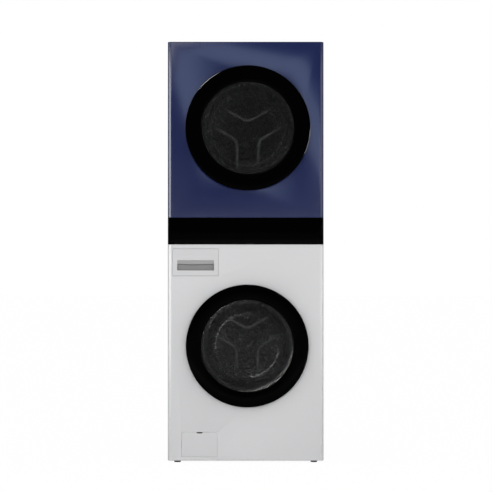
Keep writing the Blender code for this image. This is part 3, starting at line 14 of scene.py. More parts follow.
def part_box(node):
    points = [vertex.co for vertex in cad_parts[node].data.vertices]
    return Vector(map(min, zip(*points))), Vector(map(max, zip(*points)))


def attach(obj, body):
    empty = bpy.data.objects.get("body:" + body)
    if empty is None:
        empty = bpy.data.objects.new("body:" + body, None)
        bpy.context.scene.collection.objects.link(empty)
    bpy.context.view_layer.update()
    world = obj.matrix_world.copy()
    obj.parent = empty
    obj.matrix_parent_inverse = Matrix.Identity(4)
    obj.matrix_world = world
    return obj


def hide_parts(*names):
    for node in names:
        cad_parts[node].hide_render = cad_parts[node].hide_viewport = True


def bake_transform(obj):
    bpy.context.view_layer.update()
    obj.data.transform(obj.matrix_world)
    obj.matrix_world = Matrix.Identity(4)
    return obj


bl_info = {
    "name": "Laundry Tower",
    "version": (1, 0, 0),
    "blender": (4, 5, 0),
    "location": "View3D > Sidebar > Laundry Tower",
    "description": "Builds the visible pieces and finishes of a washer and dryer tower",
    "category": "Object",
}

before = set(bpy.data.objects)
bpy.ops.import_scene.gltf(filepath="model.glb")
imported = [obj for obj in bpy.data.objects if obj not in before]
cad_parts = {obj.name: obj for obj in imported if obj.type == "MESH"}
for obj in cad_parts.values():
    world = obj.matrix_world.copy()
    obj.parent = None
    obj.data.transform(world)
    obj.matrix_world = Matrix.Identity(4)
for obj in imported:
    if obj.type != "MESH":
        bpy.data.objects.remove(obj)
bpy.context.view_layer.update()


def centre_of(low, high):
    """The middle of a box in x, y and z."""
    return (low.x + high.x) / 2, (low.y + high.y) / 2, (low.z + high.z) / 2


# ------------------------------------------------------------ places taken from the frame
RING_LOW, RING_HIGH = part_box("dryer_door_ring")
LOW_RING_LOW, LOW_RING_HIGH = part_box("washer_door_ring")
FRONT_LOW, FRONT_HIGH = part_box("washer_front_panel")
HALF_WIDTH, FRONT_Y, DOOR_Y = FRONT_HIGH.x, FRONT_LOW.y, RING_LOW.y
REAR_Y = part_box("rear_panel_lower")[1].y
DRYER_AXIS = centre_of(RING_LOW, RING_HIGH)[::2]
WASHER_AXIS = centre_of(LOW_RING_LOW, LOW_RING_HIGH)[::2]
DRYER_RING = (RING_HIGH.x - RING_LOW.x) / 2
WASHER_RING = (LOW_RING_HIGH.x - LOW_RING_LOW.x) / 2

Drum = namedtuple("Drum", "axis radius mouth front back disc shaft shaft_end")
DRUMS = {"washer": Drum(WASHER_AXIS, 0.270, 0.206, -0.287, 0.222, 0.2679, 0.018, 0.322),
         "dryer": Drum(DRYER_AXIS, 0.290, 0.262, -0.290, 0.295, 0.2879, 0.012, 0.397)}
Door = namedtuple("Door", "axis radius bowl bowl_rear bowl_radius")
DOORS = {"washer": Door(WASHER_AXIS, WASHER_RING, "washer_door_bowl", -0.295, 0.158),
         "dryer": Door(DRYER_AXIS, DRYER_RING, "dryer_door_inner_glass", -0.347, 0.170)}

# ------------------------------------------------------------ sizes that pieces share
FRONT_RETURN, FRONT_FLANGE, FRONT_SHEET = 0.022, 0.020, 0.0012
MOUTH_RADIUS, WINDOW_SEAT = 0.216, 0.206
RING_RIM_END, RING_FACE, RING_WALL, RING_WELL = 0.020, 0.004, 0.003, 0.013
RIM_EASE = 0.0035
DOOR_THICK = 0.034
NOTCH_LOW, NOTCH_HIGH, NOTCH_INNER = 0.0372, 0.0568, 0.0265
FIELD_RISE = 0.0030
FIT = 0.0003
SEAM = 2e-6
TURN = 2 * math.pi


# ------------------------------------------------------------ surfaces as arrays
class Surface:
    """Vertices and faces of one piece, gathered from grids, caps and plates."""

    def __init__(self):
        self.blocks, self.faces, self.count = [], [], 0

    def points(self, array):
        array = np.asarray(array, float).reshape(-1, 3)
        first = self.count
        self.blocks.append(array)
        self.count += len(array)
        return first

    def grid(self, array, wrap_u=False, wrap_v=False, skip=None):
        """Quads between neighbouring rows and columns of an m by n array of points."""
        rows, columns = array.shape[:2]
        index = np.arange(rows * columns).reshape(rows, columns) + self.points(array)
        if wrap_u:
            index = np.vstack([index, index[:1]])
        if wrap_v:
            index = np.hstack([index, index[:, :1]])
        quads = np.stack([index[:-1, :-1], index[1:, :-1], index[1:, 1:], index[:-1, 1:]], -1)
        if skip is not None:
            quads = quads[~skip]
        self.faces += quads.reshape(-1, 4).tolist()
        return index

    def cap(self, loop):
        """One flat many-sided face over a closed loop of points."""
        first = self.points(loop)
        self.faces.append(list(range(first, first + len(loop))))

    def plate(self, loops):
        """A flat face with holes: the first loop is its edge, the others are the holes."""
        first = self.points(np.concatenate(loops))
        for corners in tessellate_polygon([[Vector(p) for p in loop] for loop in loops]):
            self.faces.append([first + i for i in corners])

    def join(self, other):
        first = self.count
        for block in other.blocks:
            self.points(block)
        self.faces += [[first + i for i in face] for face in other.faces]
        return self


def rounded(points, cuts, steps=4, closed=True):
    """An outline whose corners are eased: a corner P is left a cut length before it and met again a
    cut length after it, and between the two runs (1-t)^2 A + 2t(1-t) P + t^2 B."""
    corner = np.asarray(points, float)
    before, after = np.roll(corner, 1, 0) - corner, np.roll(corner, -1, 0) - corner
    cut = np.broadcast_to(np.asarray(cuts, float), (len(corner),)).copy()
    if not closed:
        cut[0] = cut[-1] = 0.0
    reach_before = np.linalg.norm(before, axis=1)
    reach_after = np.linalg.norm(after, axis=1)
    if not closed:
        reach_before[0], reach_after[-1] = 1.0, 1.0
    cut = np.minimum(cut, 0.48 * np.minimum(reach_before, reach_after))[:, None]
    start = corner + before / reach_before[:, None] * cut
    end = corner + after / reach_after[:, None] * cut
    t = np.linspace(0, 1, steps + 1)[None, :, None]
    curve = ((1 - t) ** 2 * start[:, None] + 2 * t * (1 - t) * corner[:, None]
             + t ** 2 * end[:, None])
    line = curve.reshape(-1, corner.shape[1])
    keep = np.ones(len(line), bool)
    keep[1:] = np.linalg.norm(np.diff(line, axis=0), axis=1) > 1e-6
    return line[keep]


def around(axis, section, angles):
    """A section of (radius, y) pairs turned about a front-to-rear axis: each point goes to
    (x + r cos a, y, z + r sin a). The section may differ from one angle to the next."""
    section = np.broadcast_to(section, (len(angles),) + section.shape[-2:])
    radius, depth = section[..., 0], section[..., 1]
    angle = np.asarray(angles)[:, None]
    return np.stack([axis[0] + radius * np.cos(angle), depth,
                     axis[1] + radius * np.sin(angle)], -1)


def swept(points, wrap_u=False, wrap_v=False, ends=False):
    """A surface of one grid; with ends, flat faces close its first and its last row."""
    shape = Surface()
    shape.grid(points, wrap_u, wrap_v)
    if ends:
        shape.cap(points[0])
        shape.cap(points[-1])
    return shape


def unit(vectors):
    """Each row of an array, brought to length 1."""
    return vectors / np.linalg.norm(vectors, axis=1)[:, None]


def full_turn(count):
    """Evenly spaced angles, once round."""
    return np.linspace(0, TURN, count, endpoint=False)


def quarter_round(count):
    """A quarter circle of radius 1, as insets 1 - sin a and depths 1 - cos a."""
    angle = np.linspace(0, math.pi / 2, count)
    return 1 - np.sin(angle), 1 - np.cos(angle)


def turned(axis, section, count=128, closed=True):
    """A section turned about a front-to-rear axis."""
    return swept(around(axis, section, full_turn(count)), True, closed)


def upright(x, y, radius, height, count):
    """Rings of points about a vertical axis: each has its own radius and height."""
    angle = full_turn(count)[:, None]
    across, along = radius * np.cos(angle), radius * np.sin(angle)
    height = np.broadcast_to(height, across.shape)
    return swept(np.stack([x + across, y + along, height], -1), wrap_u=True)


def smooth(value):
    """0 below 0, 1 above 1 and 3t^2 - 2t^3 between them."""
    t = np.clip(value, 0.0, 1.0)
    return t * t * (3 - 2 * t)


def ramp(value, corner=0.006):
    """A straight climb from 0 to 1 whose two corners are hyperbolas:
    (1 + sqrt(t^2 + c) - sqrt((t - 1)^2 + c)) / 2."""
    return (1 + np.sqrt(value ** 2 + corner) - np.sqrt((value - 1) ** 2 + corner)) / 2


def hump(value, low, high, ease):
    """A flat-topped bump: 1 between low and high, and eased to 0 over a length outside of them."""
    return smooth((value - low) / ease + 1) * smooth((high - value) / ease + 1)


def tube(path, radius, sides):
    """A round section carried along a path, on axes square to the path's own direction."""
    ahead = unit(np.gradient(path, axis=0))
    guide = (0.0, 0.0, 1.0) if abs(ahead[0, 2]) < 0.9 else (0.0, 1.0, 0.0)
    side = unit(np.cross(ahead, guide))
    up = np.cross(side, ahead)
    angle = full_turn(sides)[None, :, None]
    points = path[:, None] + radius * (side[:, None] * np.cos(angle) + up[:, None] * np.sin(angle))
    return swept(points, wrap_v=True, ends=True)


def block(low, high, cut):
    """A box with eased edges: one rounded outline in x and z carried from front to rear, drawn in
    by the same curve at both ends."""
    low, high = np.asarray(low, float), np.asarray(high, float)
    draw, back = quarter_round(4)
    inset = cut * np.concatenate([draw, draw[::-1]])
    depth = np.concatenate([low[1] + cut * back, high[1] - cut * back[::-1]])
    centre, half = (low + high) / 2, (high - low) / 2
    outline = rounded(np.array([[-1, -1], [1, -1], [1, 1], [-1, 1]]) * half[[0, 2]], cut, 3)
    flat = outline[None] * (1 - inset[:, None, None] / half[[0, 2]])
    points = np.stack([centre[0] + flat[..., 0], np.broadcast_to(depth[:, None], flat.shape[:2]),
                       centre[2] + flat[..., 1]], -1)
    return swept(points, wrap_v=True, ends=True)


# ------------------------------------------------------------ pieces
def put(name, data):
    """A new object in the scene."""
    thing = bpy.data.objects.new(name, data)
    bpy.context.scene.collection.objects.link(thing)
    return thing


def mesh_of(name, shape, inside=None):
    """A surface's mesh, its seams merged. Given a point inside, its faces look away from it."""
    mesh = bpy.data.meshes.new(name)
    mesh.from_pydata(np.concatenate(shape.blocks).tolist(), [], shape.faces)
    bm = bmesh.new()
    bm.from_mesh(mesh)
    bmesh.ops.remove_doubles(bm, verts=bm.verts, dist=SEAM)
    bmesh.ops.recalc_face_normals(bm, faces=bm.faces)
    if inside is not None:
        centre = Vector(inside)
        lean = sum((face.calc_center_median() - centre).dot(face.normal) * face.calc_area()
                   for face in bm.faces)
        if lean < 0:
            bmesh.ops.reverse_faces(bm, faces=bm.faces)
    bm.to_mesh(mesh)
    bm.free()
    return mesh


def add_piece(name, shape, body, slot, replaced=(), look=None, wall=0.0, inside=None, crease=32.0):
    """Puts a surface into the scene as one piece that rides on a body of the frame. Its finish is
    its slot's own, unless another look is named."""
    mesh = mesh_of(name, shape, inside)
    mesh.polygons.foreach_set("use_smooth", np.ones(len(mesh.polygons), bool))
    mesh.set_sharp_from_angle(angle=math.radians(crease))
    mesh.materials.append(FINISHES[look or slot].material)
    piece = put(name, mesh)
    if wall:
        skin = piece.modifiers.new("wall", "SOLIDIFY")
        skin.thickness = wall
        skin.offset = -1.0
        skin.use_even_offset = True
    if body is not None:
        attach(piece, body)
    if replaced:
        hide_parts(*replaced)
    return piece


# ------------------------------------------------------------ finishes
FINISHES = {}
STEEL = (0.56, 0.565, 0.575)
HOLE_DARK = (0.012, 0.012, 0.012, 1.0)


def add_node(tree, kind, inputs=None, **settings):
    """A node whose inputs are set to values or linked to the outputs of other nodes."""
    made = tree.nodes.new(kind)
    for key, value in settings.items():
        setattr(made, key, value)
    for key, value in (inputs or {}).items():
        if hasattr(value, "is_output"):
            tree.links.new(value, made.inputs[key])
        else:
            made.inputs[key].default_value = value
    return made


class Finish:
    """A material with the few nodes that its grain, tone and gloss need."""

    def __init__(self, name, colour, roughness, metallic=0.0, **sockets):
        self.material = bpy.data.materials.new(name)
        self.material.use_nodes = True
        self.tree = self.material.node_tree
        self.shader = self.tree.nodes["Principled BSDF"]
        self.colour = tuple(colour)[:3]
        self.bump_end = None
        sockets.update({"Base Color": (*self.colour, 1.0), "Roughness": roughness,
                        "Metallic": metallic})
        for socket, value in sockets.items():
            self.shader.inputs[socket.replace("_", " ")].default_value = value
        FINISHES[name] = self

    def node(self, kind, inputs=None, **settings):
        return add_node(self.tree, kind, inputs, **settings)

    def feed(self, socket, value):
        self.tree.links.new(value, self.shader.inputs[socket])

    def place(self, stretch=(1, 1, 1), shift=(0, 0, 0)):
        where = self.node("ShaderNodeTexCoord").outputs["Object"]
        return self.node("ShaderNodeMapping", {"Vector": where, "Scale": stretch,
                                               "Location": shift}).outputs[0]

    def noise(self, scale, detail=2.0, stretch=(1, 1, 1)):
        return self.node("ShaderNodeTexNoise", {"Vector": self.place(stretch), "Scale": scale,
                                                "Detail": detail}).outputs["Fac"]

    def spread(self, value, low, high, start=0.0, end=1.0):
        return self.node("ShaderNodeMapRange", {0: value, 1: start, 2: end, 3: low, 4: high}
                         ).outputs[0]

    def tone(self, value, amount):
        """Moves the colour by up to an amount either way."""
        shade = self.node("ShaderNodeValToRGB", {"Fac": value})
        for end, position, factor in zip(shade.color_ramp.elements, (0.3, 0.7),
                                         (1 - amount, 1 + amount)):
            end.position = position
            end.color = (*(min(1.0, channel * factor) for channel in self.colour), 1.0)
        self.feed("Base Color", shade.outputs["Color"])

    def gloss(self, value, low, high):
        self.feed("Roughness", self.spread(value, low, high))

    def bump(self, value, strength, distance):
        bump = self.node("ShaderNodeBump", {"Height": value, "Strength": strength,
                                            "Distance": distance})
        if self.bump_end is not None:
            self.tree.links.new(self.bump_end, bump.inputs["Normal"])
        self.bump_end = bump.outputs["Normal"]
        self.feed("Normal", self.bump_end)

    def maths(self, operation, *values):
        return self.node("ShaderNodeMath", dict(enumerate(values)), operation=operation).outputs[0]


def enamel(name, colour, roughness, shine=0.5):
    """Baked enamel: fine orange peel, and a slow change of tone and gloss."""
    made = Finish(name, colour, roughness, Specular_IOR_Level=shine)
    made.tone(made.noise(2.2, 1.0), 0.012)
    made.gloss(made.noise(9.0, 3.0), roughness - 0.03, roughness + 0.04)
    made.bump(made.noise(520.0, 1.0), 0.03, 0.0004)
    return made


def moulded(name, colour, roughness, grain=900.0, depth=0.12):
    """Moulded plastic: a fine pebbled grain with a little change of tone."""
    made = Finish(name, colour, roughness)
    made.tone(made.noise(7.0, 2.0), 0.05)
    made.gloss(made.noise(40.0, 2.0), roughness - 0.05, roughness + 0.06)
    made.bump(made.noise(grain, 2.0), depth, 0.0003)
    return made


def brushed(name, colour, roughness, stretch):
    """Brushed steel: noise drawn out along the way that it was brushed."""
    made = Finish(name, colour, roughness, 1.0, Anisotropic=0.35)
    grain = made.noise(60.0, 4.0, stretch)
    made.tone(made.noise(5.0, 2.0), 0.05)
    made.gloss(grain, roughness - 0.06, roughness + 0.10)
    made.bump(grain, 0.05, 0.0002)
    return made


def perforated(name, axis, pitch):
    """Drum steel with rows of small holes: the angle about the drum's axis times its radius, and
    the depth, are folded into staggered cells, and each cell holds one dark round hole."""
    mean_radius, row_pitch = 0.28, pitch * 0.866
    made = brushed(name, STEEL, 0.27, (0.3, 6.0, 0.3))
    where = made.node("ShaderNodeSeparateXYZ", {0: made.place(shift=(-axis[0], 0, -axis[1]))})
    x, y, z = where.outputs
    round_it = made.maths("MULTIPLY", made.maths("ARCTAN2", z, x), mean_radius / pitch)
    row = made.maths("DIVIDE", y, row_pitch)
    shifted = made.maths("ADD", round_it, made.maths(
        "MULTIPLY", made.maths("FLOOR", made.maths("MODULO", row, 2.0)), 0.5))
    across = made.maths("SUBTRACT", made.maths("FRACT", shifted), 0.5)
    along = made.maths("SUBTRACT", made.maths("FRACT", row), 0.5)
    reach = made.maths("SQRT", made.maths("ADD", made.maths("MULTIPLY", across, across),
                                          made.maths("MULTIPLY", along, along)))
    hole = made.spread(reach, 1.0, 0.0, 0.12, 0.17)
    made.bump(hole, -0.4, 0.001)
    base = made.shader.inputs["Base Color"].links[0].from_socket
    mix = made.node("ShaderNodeMix", {0: hole, 6: base, 7: HOLE_DARK}, data_type="RGBA")
    made.feed("Base Color", mix.outputs[2])


def spangled(name, colour, roughness):
    """Galvanised sheet: crystals of slightly different tone and gloss."""
    made = Finish(name, colour, roughness, 0.85)
    crystals = made.node("ShaderNodeTexVoronoi", {"Vector": made.place(), "Scale": 70.0}
                         ).outputs["Color"]
    made.tone(crystals, 0.10)
    made.gloss(crystals, roughness - 0.08, roughness + 0.12)
    made.bump(made.noise(260.0, 2.0), 0.03, 0.0003)


def make_finishes(colours):
    """Every finish, under its own name in FINISHES."""
    enamel("white_enamel", colours.white, 0.30)
    enamel("blue_enamel", colours.blue, 0.15, 0.25)
    black = Finish("black_gloss", colours.black, 0.07, Specular_IOR_Level=0.02)
    black.gloss(black.noise(6.0, 2.0), 0.05, 0.09)
    window = Finish("window_glass", colours.glass, 0.04, Alpha=0.22, Specular_IOR_Level=0.12)
    window.gloss(window.noise(3.0, 1.0), 0.02, 0.05)
    bowl = Finish("bowl_glass", (0.010, 0.011, 0.011), 0.11, Alpha=0.42)
    bowl.gloss(bowl.noise(4.0, 1.0), 0.10, 0.13)
    brushed("drum_steel", STEEL, 0.30, (1, 8, 1))
    brushed("hinge_steel", (0.58, 0.58, 0.58), 0.32, (1, 1, 9))
    pressed = brushed("star_steel", STEEL, 0.26, (1, 8, 1))
    # painted highlight: the star's bends drop to little metal, so that the star's own lamp shows
    # them as bright lines
    painted_edge_highlight = pressed.node("ShaderNodeAttribute", attribute_name="painted_edge_highlight").outputs["Fac"]
    pressed.feed("Metallic", pressed.spread(painted_edge_highlight, 1.0, 0.30))
    perforated("washer_drum_steel", WASHER_AXIS, 0.021)
    perforated("dryer_drum_steel", DRYER_AXIS, 0.034)
    spangled("galvanised_steel", (0.56, 0.57, 0.58), 0.42)
    for plastic in (("tub_plastic", (0.50, 0.50, 0.49), 0.55),
                    ("grey_plastic", (0.34, 0.34, 0.35), 0.48),
                    # grey skins that paint shade into the drawer's grip: lighter on the slope,
                    # darker in the well
                    ("grip_scoop", (0.40, 0.40, 0.40), 0.35),
                    ("grip_floor", (0.27, 0.27, 0.27), 0.40),
                    ("door_liner", (0.13, 0.132, 0.136), 0.45),
                    ("rubber", (0.052, 0.053, 0.055), 0.62, 500.0, 0.2),
                    ("gasket_rubber", (0.20, 0.205, 0.21), 0.55, 400.0, 0.15)):
        moulded(*plastic)
    concrete = Finish("cast_concrete", (0.36, 0.35, 0.33), 0.9)
    concrete.tone(concrete.noise(14.0, 6.0), 0.18)
    concrete.bump(concrete.noise(90.0, 5.0), 0.5, 0.001)
    painted = Finish("motor_metal", (0.055, 0.056, 0.06), 0.42)
    painted.gloss(painted.noise(60.0, 3.0), 0.35, 0.5)
    painted.bump(painted.noise(300.0, 2.0), 0.1, 0.0003)
    coil = Finish("stator_winding", (0.46, 0.19, 0.07), 0.38, 0.6)
    coil.bump(coil.noise(120.0, 2.0, (1, 12, 1)), 0.6, 0.001)


# ------------------------------------------------------------ front panels
def circle_loop(centre, radius, count=160):
    """The points of a circle, grown by an amount."""
    angle = full_turn(count)

    def grown(by):
        return np.stack([centre[0] + (radius + by) * np.cos(angle),
                         centre[1] + (radius + by) * np.sin(angle)], -1)
    return grown


def rectangle_loop(low, high, corner, steps=6):
    """The points of a rectangle with eased corners, grown by an amount."""
    def grown(by):
        x0, z0, x1, z1 = low[0] - by, low[1] - by, high[0] + by, high[1] + by
        return rounded([(x0, z0), (x1, z0), (x1, z1), (x0, z1)], corner + by, steps)
    return grown


def in_plane(loop, y):
    """A loop of (x, z) pairs as points at one y."""
    return np.stack([loop[:, 0], np.full(len(loop), y), loop[:, 1]], -1)


def lip(shape, opening, y, ease, depth):
    """An opening's rolled edge: the loop goes round a quarter circle and on into a short tube."""
    draw, back = quarter_round(5)
    rows = np.stack([in_plane(opening(by), y + step) for by, step in
                     zip(np.append(ease * draw, 0.0), np.append(ease * back, depth))])
    shape.grid(rows, wrap_v=True)
    return in_plane(opening(ease), y)


def folded_front(low_z, high_z, corner, edges, openings, ease=0.0010, depth=0.007):
    """A folded steel front: a U-shaped outline (side return, rounded corner, face, rounded corner,
    side return) is carried up the height. Inset d draws it in at the top and the bottom round a
    quarter circle, and on inwards as a flange. The flat cell of the face holds the openings."""
    draw, back = quarter_round(5)
    foot, head = edges
    inset = np.concatenate([[FRONT_FLANGE], foot * draw, head * draw[::-1], [FRONT_FLANGE]])
    height = np.concatenate([[low_z], low_z + foot * back, high_z - head * back[::-1], [high_z]])
    inset, height = inset[:, None], height[:, None]
    arc = np.linspace(0, math.pi / 2, 9)[None, :]
    reach = np.maximum(corner, inset)
    radius = reach - inset
    left_x = -HALF_WIDTH + reach - radius * np.cos(arc)
    left_y = FRONT_Y + reach - radius * np.sin(arc)
    rear = np.full_like(inset, FRONT_Y + FRONT_RETURN)
    x = np.hstack([-HALF_WIDTH + inset, left_x, -left_x[:, ::-1], HALF_WIDTH - inset])
    y = np.hstack([rear, left_y, left_y[:, ::-1], rear])
    points = np.stack([x, y, np.broadcast_to(height, x.shape)], -1)
    row, column = len(draw), arc.shape[1]
    skip = np.zeros((points.shape[0] - 1, points.shape[1] - 1), bool)
    skip[row, column] = True
    shape = Surface()
    shape.grid(points, skip=skip)
    face = [points[row, column], points[row, column + 1], points[row + 1, column + 1],
            points[row + 1, column]]
    holes = [lip(shape, opening, FRONT_Y, ease, depth) for opening in openings]
    shape.plate([np.array(face)] + holes)
    return shape


def make_fronts():
    """The washer's front, the dryer's front and the band between them."""
    def around_node(node, corner, gap=0.0006):
        low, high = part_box(node)
        return rectangle_loop((low.x - gap, low.z - gap), (high.x + gap, high.z + gap), corner)

    x, z = WASHER_AXIS
    latch_slot = rectangle_loop((x + 0.2295, z - 0.0155), (x + 0.2425, z + 0.0155), 0.003)
    for name, node, slot, corner, edges, wall, openings in (
            ("washer_front", "washer_front_panel", "white_enamel", 0.018, (0.0025, 0.0022),
             FRONT_SHEET, [circle_loop(WASHER_AXIS, MOUTH_RADIUS),
                           around_node("drawer_front", 0.004), around_node("service_flap", 0.003),
                           latch_slot]),
            ("dryer_front", "dryer_front_panel", "blue_enamel", 0.018, (0.0018, 0.0035),
             FRONT_SHEET, [circle_loop(DRYER_AXIS, MOUTH_RADIUS)]),
            ("control_band", "control_panel", "black_gloss", 0.013, (0.0008, 0.0008), 0.002, [])):
        low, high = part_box(node)
        shape = folded_front(low.z, high.z, corner, edges, openings)
        add_piece(name, shape, "cabinet", slot, (node,), wall=wall,
                  inside=(0.0, 0.0, (low.z + high.z) / 2))


# ------------------------------------------------------------ doors
def ring_section(radius, sizes):
    """The door ring's section: a softly crowned face, an eased outer rim and the window's seat."""
    inner = WINDOW_SEAT + FIT
    crown = sizes.ring_crown
    along = np.linspace(0, 1, 9)
    face_r = inner + 0.003 + along * (radius - inner - 0.003 - RIM_EASE)
    face_y = DOOR_Y + crown * (2 * along - 1) ** 2
    rim = np.linspace(0, math.pi / 2, 7)[1:]
    rim_r = radius - RIM_EASE * (1 - np.sin(rim))
    rim_y = DOOR_Y + crown + RIM_EASE * (1 - np.cos(rim))
    seat = np.array([(inner, DOOR_Y + RING_WELL), (inner, DOOR_Y + crown + 0.0030),
                     (inner + 0.0008, DOOR_Y + crown + 0.0009)])
    back = np.array([
        (radius, DOOR_Y + RING_RIM_END - 0.0008), (radius - 0.0008, DOOR_Y + RING_RIM_END),
        (radius - RING_WALL, DOOR_Y + RING_RIM_END), (radius - RING_WALL, DOOR_Y + 0.0085),
        (radius - 0.012, DOOR_Y + RING_FACE), (inner + 0.004, DOOR_Y + RING_FACE),
        (inner + 0.004, DOOR_Y + RING_WELL)])
    return np.concatenate([seat, np.stack([face_r, face_y], -1), np.stack([rim_r, rim_y], -1),
                           back])


def door_angles(radius):
    """Angles about a door with closely spaced ones at the edges of the two hinge notches."""
    even = full_turn(192)
    marks = []
    for height in (NOTCH_LOW, NOTCH_HIGH):
        lean = math.asin(height / radius)
        marks += [math.pi - lean - 0.0006, math.pi - lean + 0.0006,
                  math.pi + lean - 0.0006, math.pi + lean + 0.0006]
    marks = np.array(marks)
    even = even[np.abs(even[:, None] - marks[None]).min(1) > 0.002]
    return np.sort(np.concatenate([even, marks]))


def in_notch(angles, radius):
    """Which of the angles lie in a hinge notch."""
    height = np.abs(radius * np.sin(angles))
    return (np.cos(angles) < 0) & (height > NOTCH_LOW) & (height < NOTCH_HIGH)


def make_ring(kind, axis, radius, sizes):
    """The section turned about the door's axis; its rim ends early in the two hinge notches."""
    angles = door_angles(radius)
    section = np.repeat(ring_section(radius, sizes)[None], len(angles), 0)
    limit = DOOR_Y + RING_FACE - 0.0010
    outer = section[..., 0] > radius - 0.0125
    low = in_notch(angles, radius)[:, None] & outer
    section[..., 1] = np.where(low, np.minimum(section[..., 1], limit), section[..., 1])
    add_piece(kind + "_ring", swept(around(axis, section, angles), True, True), kind + "_door",
              "black_gloss", (kind + "_door_ring",), crease=40)


def make_window(kind, axis, sizes):
    """A lens: its front is proud by 1 - (r/R)^2 of the crown, and its rear is parallel to it."""
    radius = WINDOW_SEAT - 0.0002
    reach = np.linspace(0, 1, 14) * (radius - 0.001)
    front = DOOR_Y + 0.0026 - sizes.window_crown * (1 - (reach / radius) ** 2)
    edge = np.array([(radius, front[-1] + 0.0012), (radius, front[-1] + 0.0038)])
    section = np.concatenate([np.stack([reach, front], -1), edge,
                              np.stack([reach, front + 0.004], -1)[::-1]])
    add_piece(kind + "_window", turned(axis, section, 160, closed=False), kind + "_door",
              "window_glass", (kind + "_door_window",), crease=50)


def make_bowl(kind, door):
    """The inner glass: a flange, a tapering wall and a flat end, eased into one line."""
    rear_y, rear_radius = door.bowl_rear, door.bowl_radius
    front = DOOR_Y + RING_WELL + FIT
    neck_r, flange_r = 0.192, WINDOW_SEAT + FIT + 0.004
    neck_y = front + 0.6 * (rear_y - front)
    neck = neck_r - 0.3 * (neck_r - rear_radius)
    glass = 0.005
    outer = [(0.0, rear_y), (rear_radius, rear_y), (neck, neck_y), (neck_r, front + glass),
             (flange_r, front + glass), (flange_r, front)]
    inner = [(neck_r - glass, front), (neck - glass, neck_y),
             (rear_radius - 0.4 * glass, rear_y - glass), (0.0, rear_y - glass)]
    cuts = [0, 0.024, 0.030, 0.004, 0.001, 0.001, 0.004, 0.030, 0.024, 0]
    section = rounded(outer + inner, cuts, 8, closed=False)
    add_piece(kind + "_bowl", turned(door.axis, section, 160, closed=False), kind + "_door",
              "bowl_glass", (door.bowl,), crease=60)


def make_liner(kind, axis, radius):
    """The door's rear cover: an annular dish with a rib, drawn in where the hinge passes."""
    back = DOOR_Y + DOOR_THICK
    clamp = DOOR_Y + RING_WELL + FIT + 0.005 + FIT
    boss = WINDOW_SEAT + FIT + 0.004 + FIT
    rim, edge = radius - 0.024, radius - RING_WALL - FIT
    lip_y = DOOR_Y + RING_RIM_END
    sheet, seat = 0.003, DOOR_Y + RING_FACE + FIT
    corners = [(0.198, clamp), (boss, clamp), (boss, seat), (boss + 0.004, seat),
               (boss + 0.004, back - sheet), (rim, back - sheet), (edge, lip_y - sheet),
               (edge, lip_y), (rim, back), (0.232, back), (0.229, back - 0.0016),
               (0.222, back - 0.0016), (0.219, back), (0.198, back)]
    section = rounded(corners, [0.001, 0.0005, 0.0005, 0.0005, 0.001, 0.004, 0.0008, 0.0012, 0.008,
                                0.001, 0.001, 0.001, 0.001, 0.004], 4)
    angles = door_angles(radius)
    section = np.repeat(section[None], len(angles), 0)
    notch = in_notch(angles, radius)[:, None]
    reach = (radius - NOTCH_INNER) / np.abs(np.cos(angles))[:, None] - 0.0003
    section[..., 0] = np.where(notch, np.minimum(section[..., 0], reach), section[..., 0])
    shape = swept(around(axis, section, angles), wrap_u=True, wrap_v=True)
    piece = add_piece(kind + "_liner", shape, kind + "_door", "door_liner",
                      (kind + "_door_liner",), crease=40)
    if kind == "washer":
        low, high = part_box("washer_door_latch")
        room = 0.0008
        hole = block((low.x - room, low.y - 0.004, low.z - 0.0015),
                     (high.x + 0.0062, back + 0.004, high.z + 0.0055), 0.0004)
        cut_out(piece, hole)
    return piece


def cut_out(piece, shape):
    """Takes a block out of a piece, where a grid can't have an opening."""
    cutter = put("cutter", mesh_of("cutter", shape))
    opening = piece.modifiers.new("opening", "BOOLEAN")
    opening.operation = "DIFFERENCE"
    opening.solver = "EXACT"
    opening.object = cutter
    bpy.context.view_layer.update()
    graph = bpy.context.evaluated_depsgraph_get()
    made = bpy.data.meshes.new_from_object(piece.evaluated_get(graph))
    piece.modifiers.clear()
    piece.data = made
    bpy.data.objects.remove(cutter)
    made.set_sharp_from_angle(angle=math.radians(40))


def make_gasket():
    """The door's bellows: a seat, a lip, one deep fold and a cuff, turned about the drum's axis."""
    seat, half = MOUTH_RADIUS - 0.0006, 0.0015
    cuff = 0.2003
    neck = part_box("tub_front")[0].y
    path = rounded([(seat - 0.002, FRONT_Y + 0.0008), (seat - half, FRONT_Y + 0.013),
                    (seat - 0.0165, FRONT_Y + 0.0155), (seat - 0.0165, FRONT_Y + 0.0225),
                    (seat - half, FRONT_Y + 0.027), (seat - half, FRONT_Y + 0.036),
                    (cuff + half, neck - 0.006), (cuff + half, neck + 0.014)],
                   0.004, 6, closed=False)
    ahead = unit(np.gradient(path, axis=0))
    side = np.stack([ahead[:, 1], -ahead[:, 0]], -1) * half
    section = np.concatenate([path + side, (path - side)[::-1]])
    piece = add_piece("bellows", turned(WASHER_AXIS, section, 144), None, "rubber",
                      ("door_gasket",), "gasket_rubber", crease=60)
    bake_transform(piece)


# ------------------------------------------------------------ drums
STAR_ARM, STAR_SIDE, STAR_FILLET = 0.043, 0.014, 0.008
STAR_REACH, STAR_FADE, STAR_HEIGHT = 0.182, 0.062, 0.0125


def star(x, z):
    """The pressed star's rise from 0 to 1, and its fade towards the rim. Three arms of an even half
    width, 120 degrees apart, are joined by k log(sum(exp(d / k))) of the depths inside each arm, so
    that they meet in fillets, and the sides ramp down over a length."""
    total = np.zeros_like(x)
    for spoke in range(3):
        angle = -TURN / 4 + spoke * TURN / 3
        along = x * math.cos(angle) + z * math.sin(angle)
        across = -x * math.sin(angle) + z * math.cos(angle)
        total += np.exp((STAR_ARM - np.hypot(np.minimum(along, 0), across)) / STAR_FILLET)
    rise = ramp((STAR_FILLET * np.log(total) + STAR_SIDE) / STAR_SIDE)
    return rise, smooth((STAR_REACH - np.hypot(x, z)) / STAR_FADE)


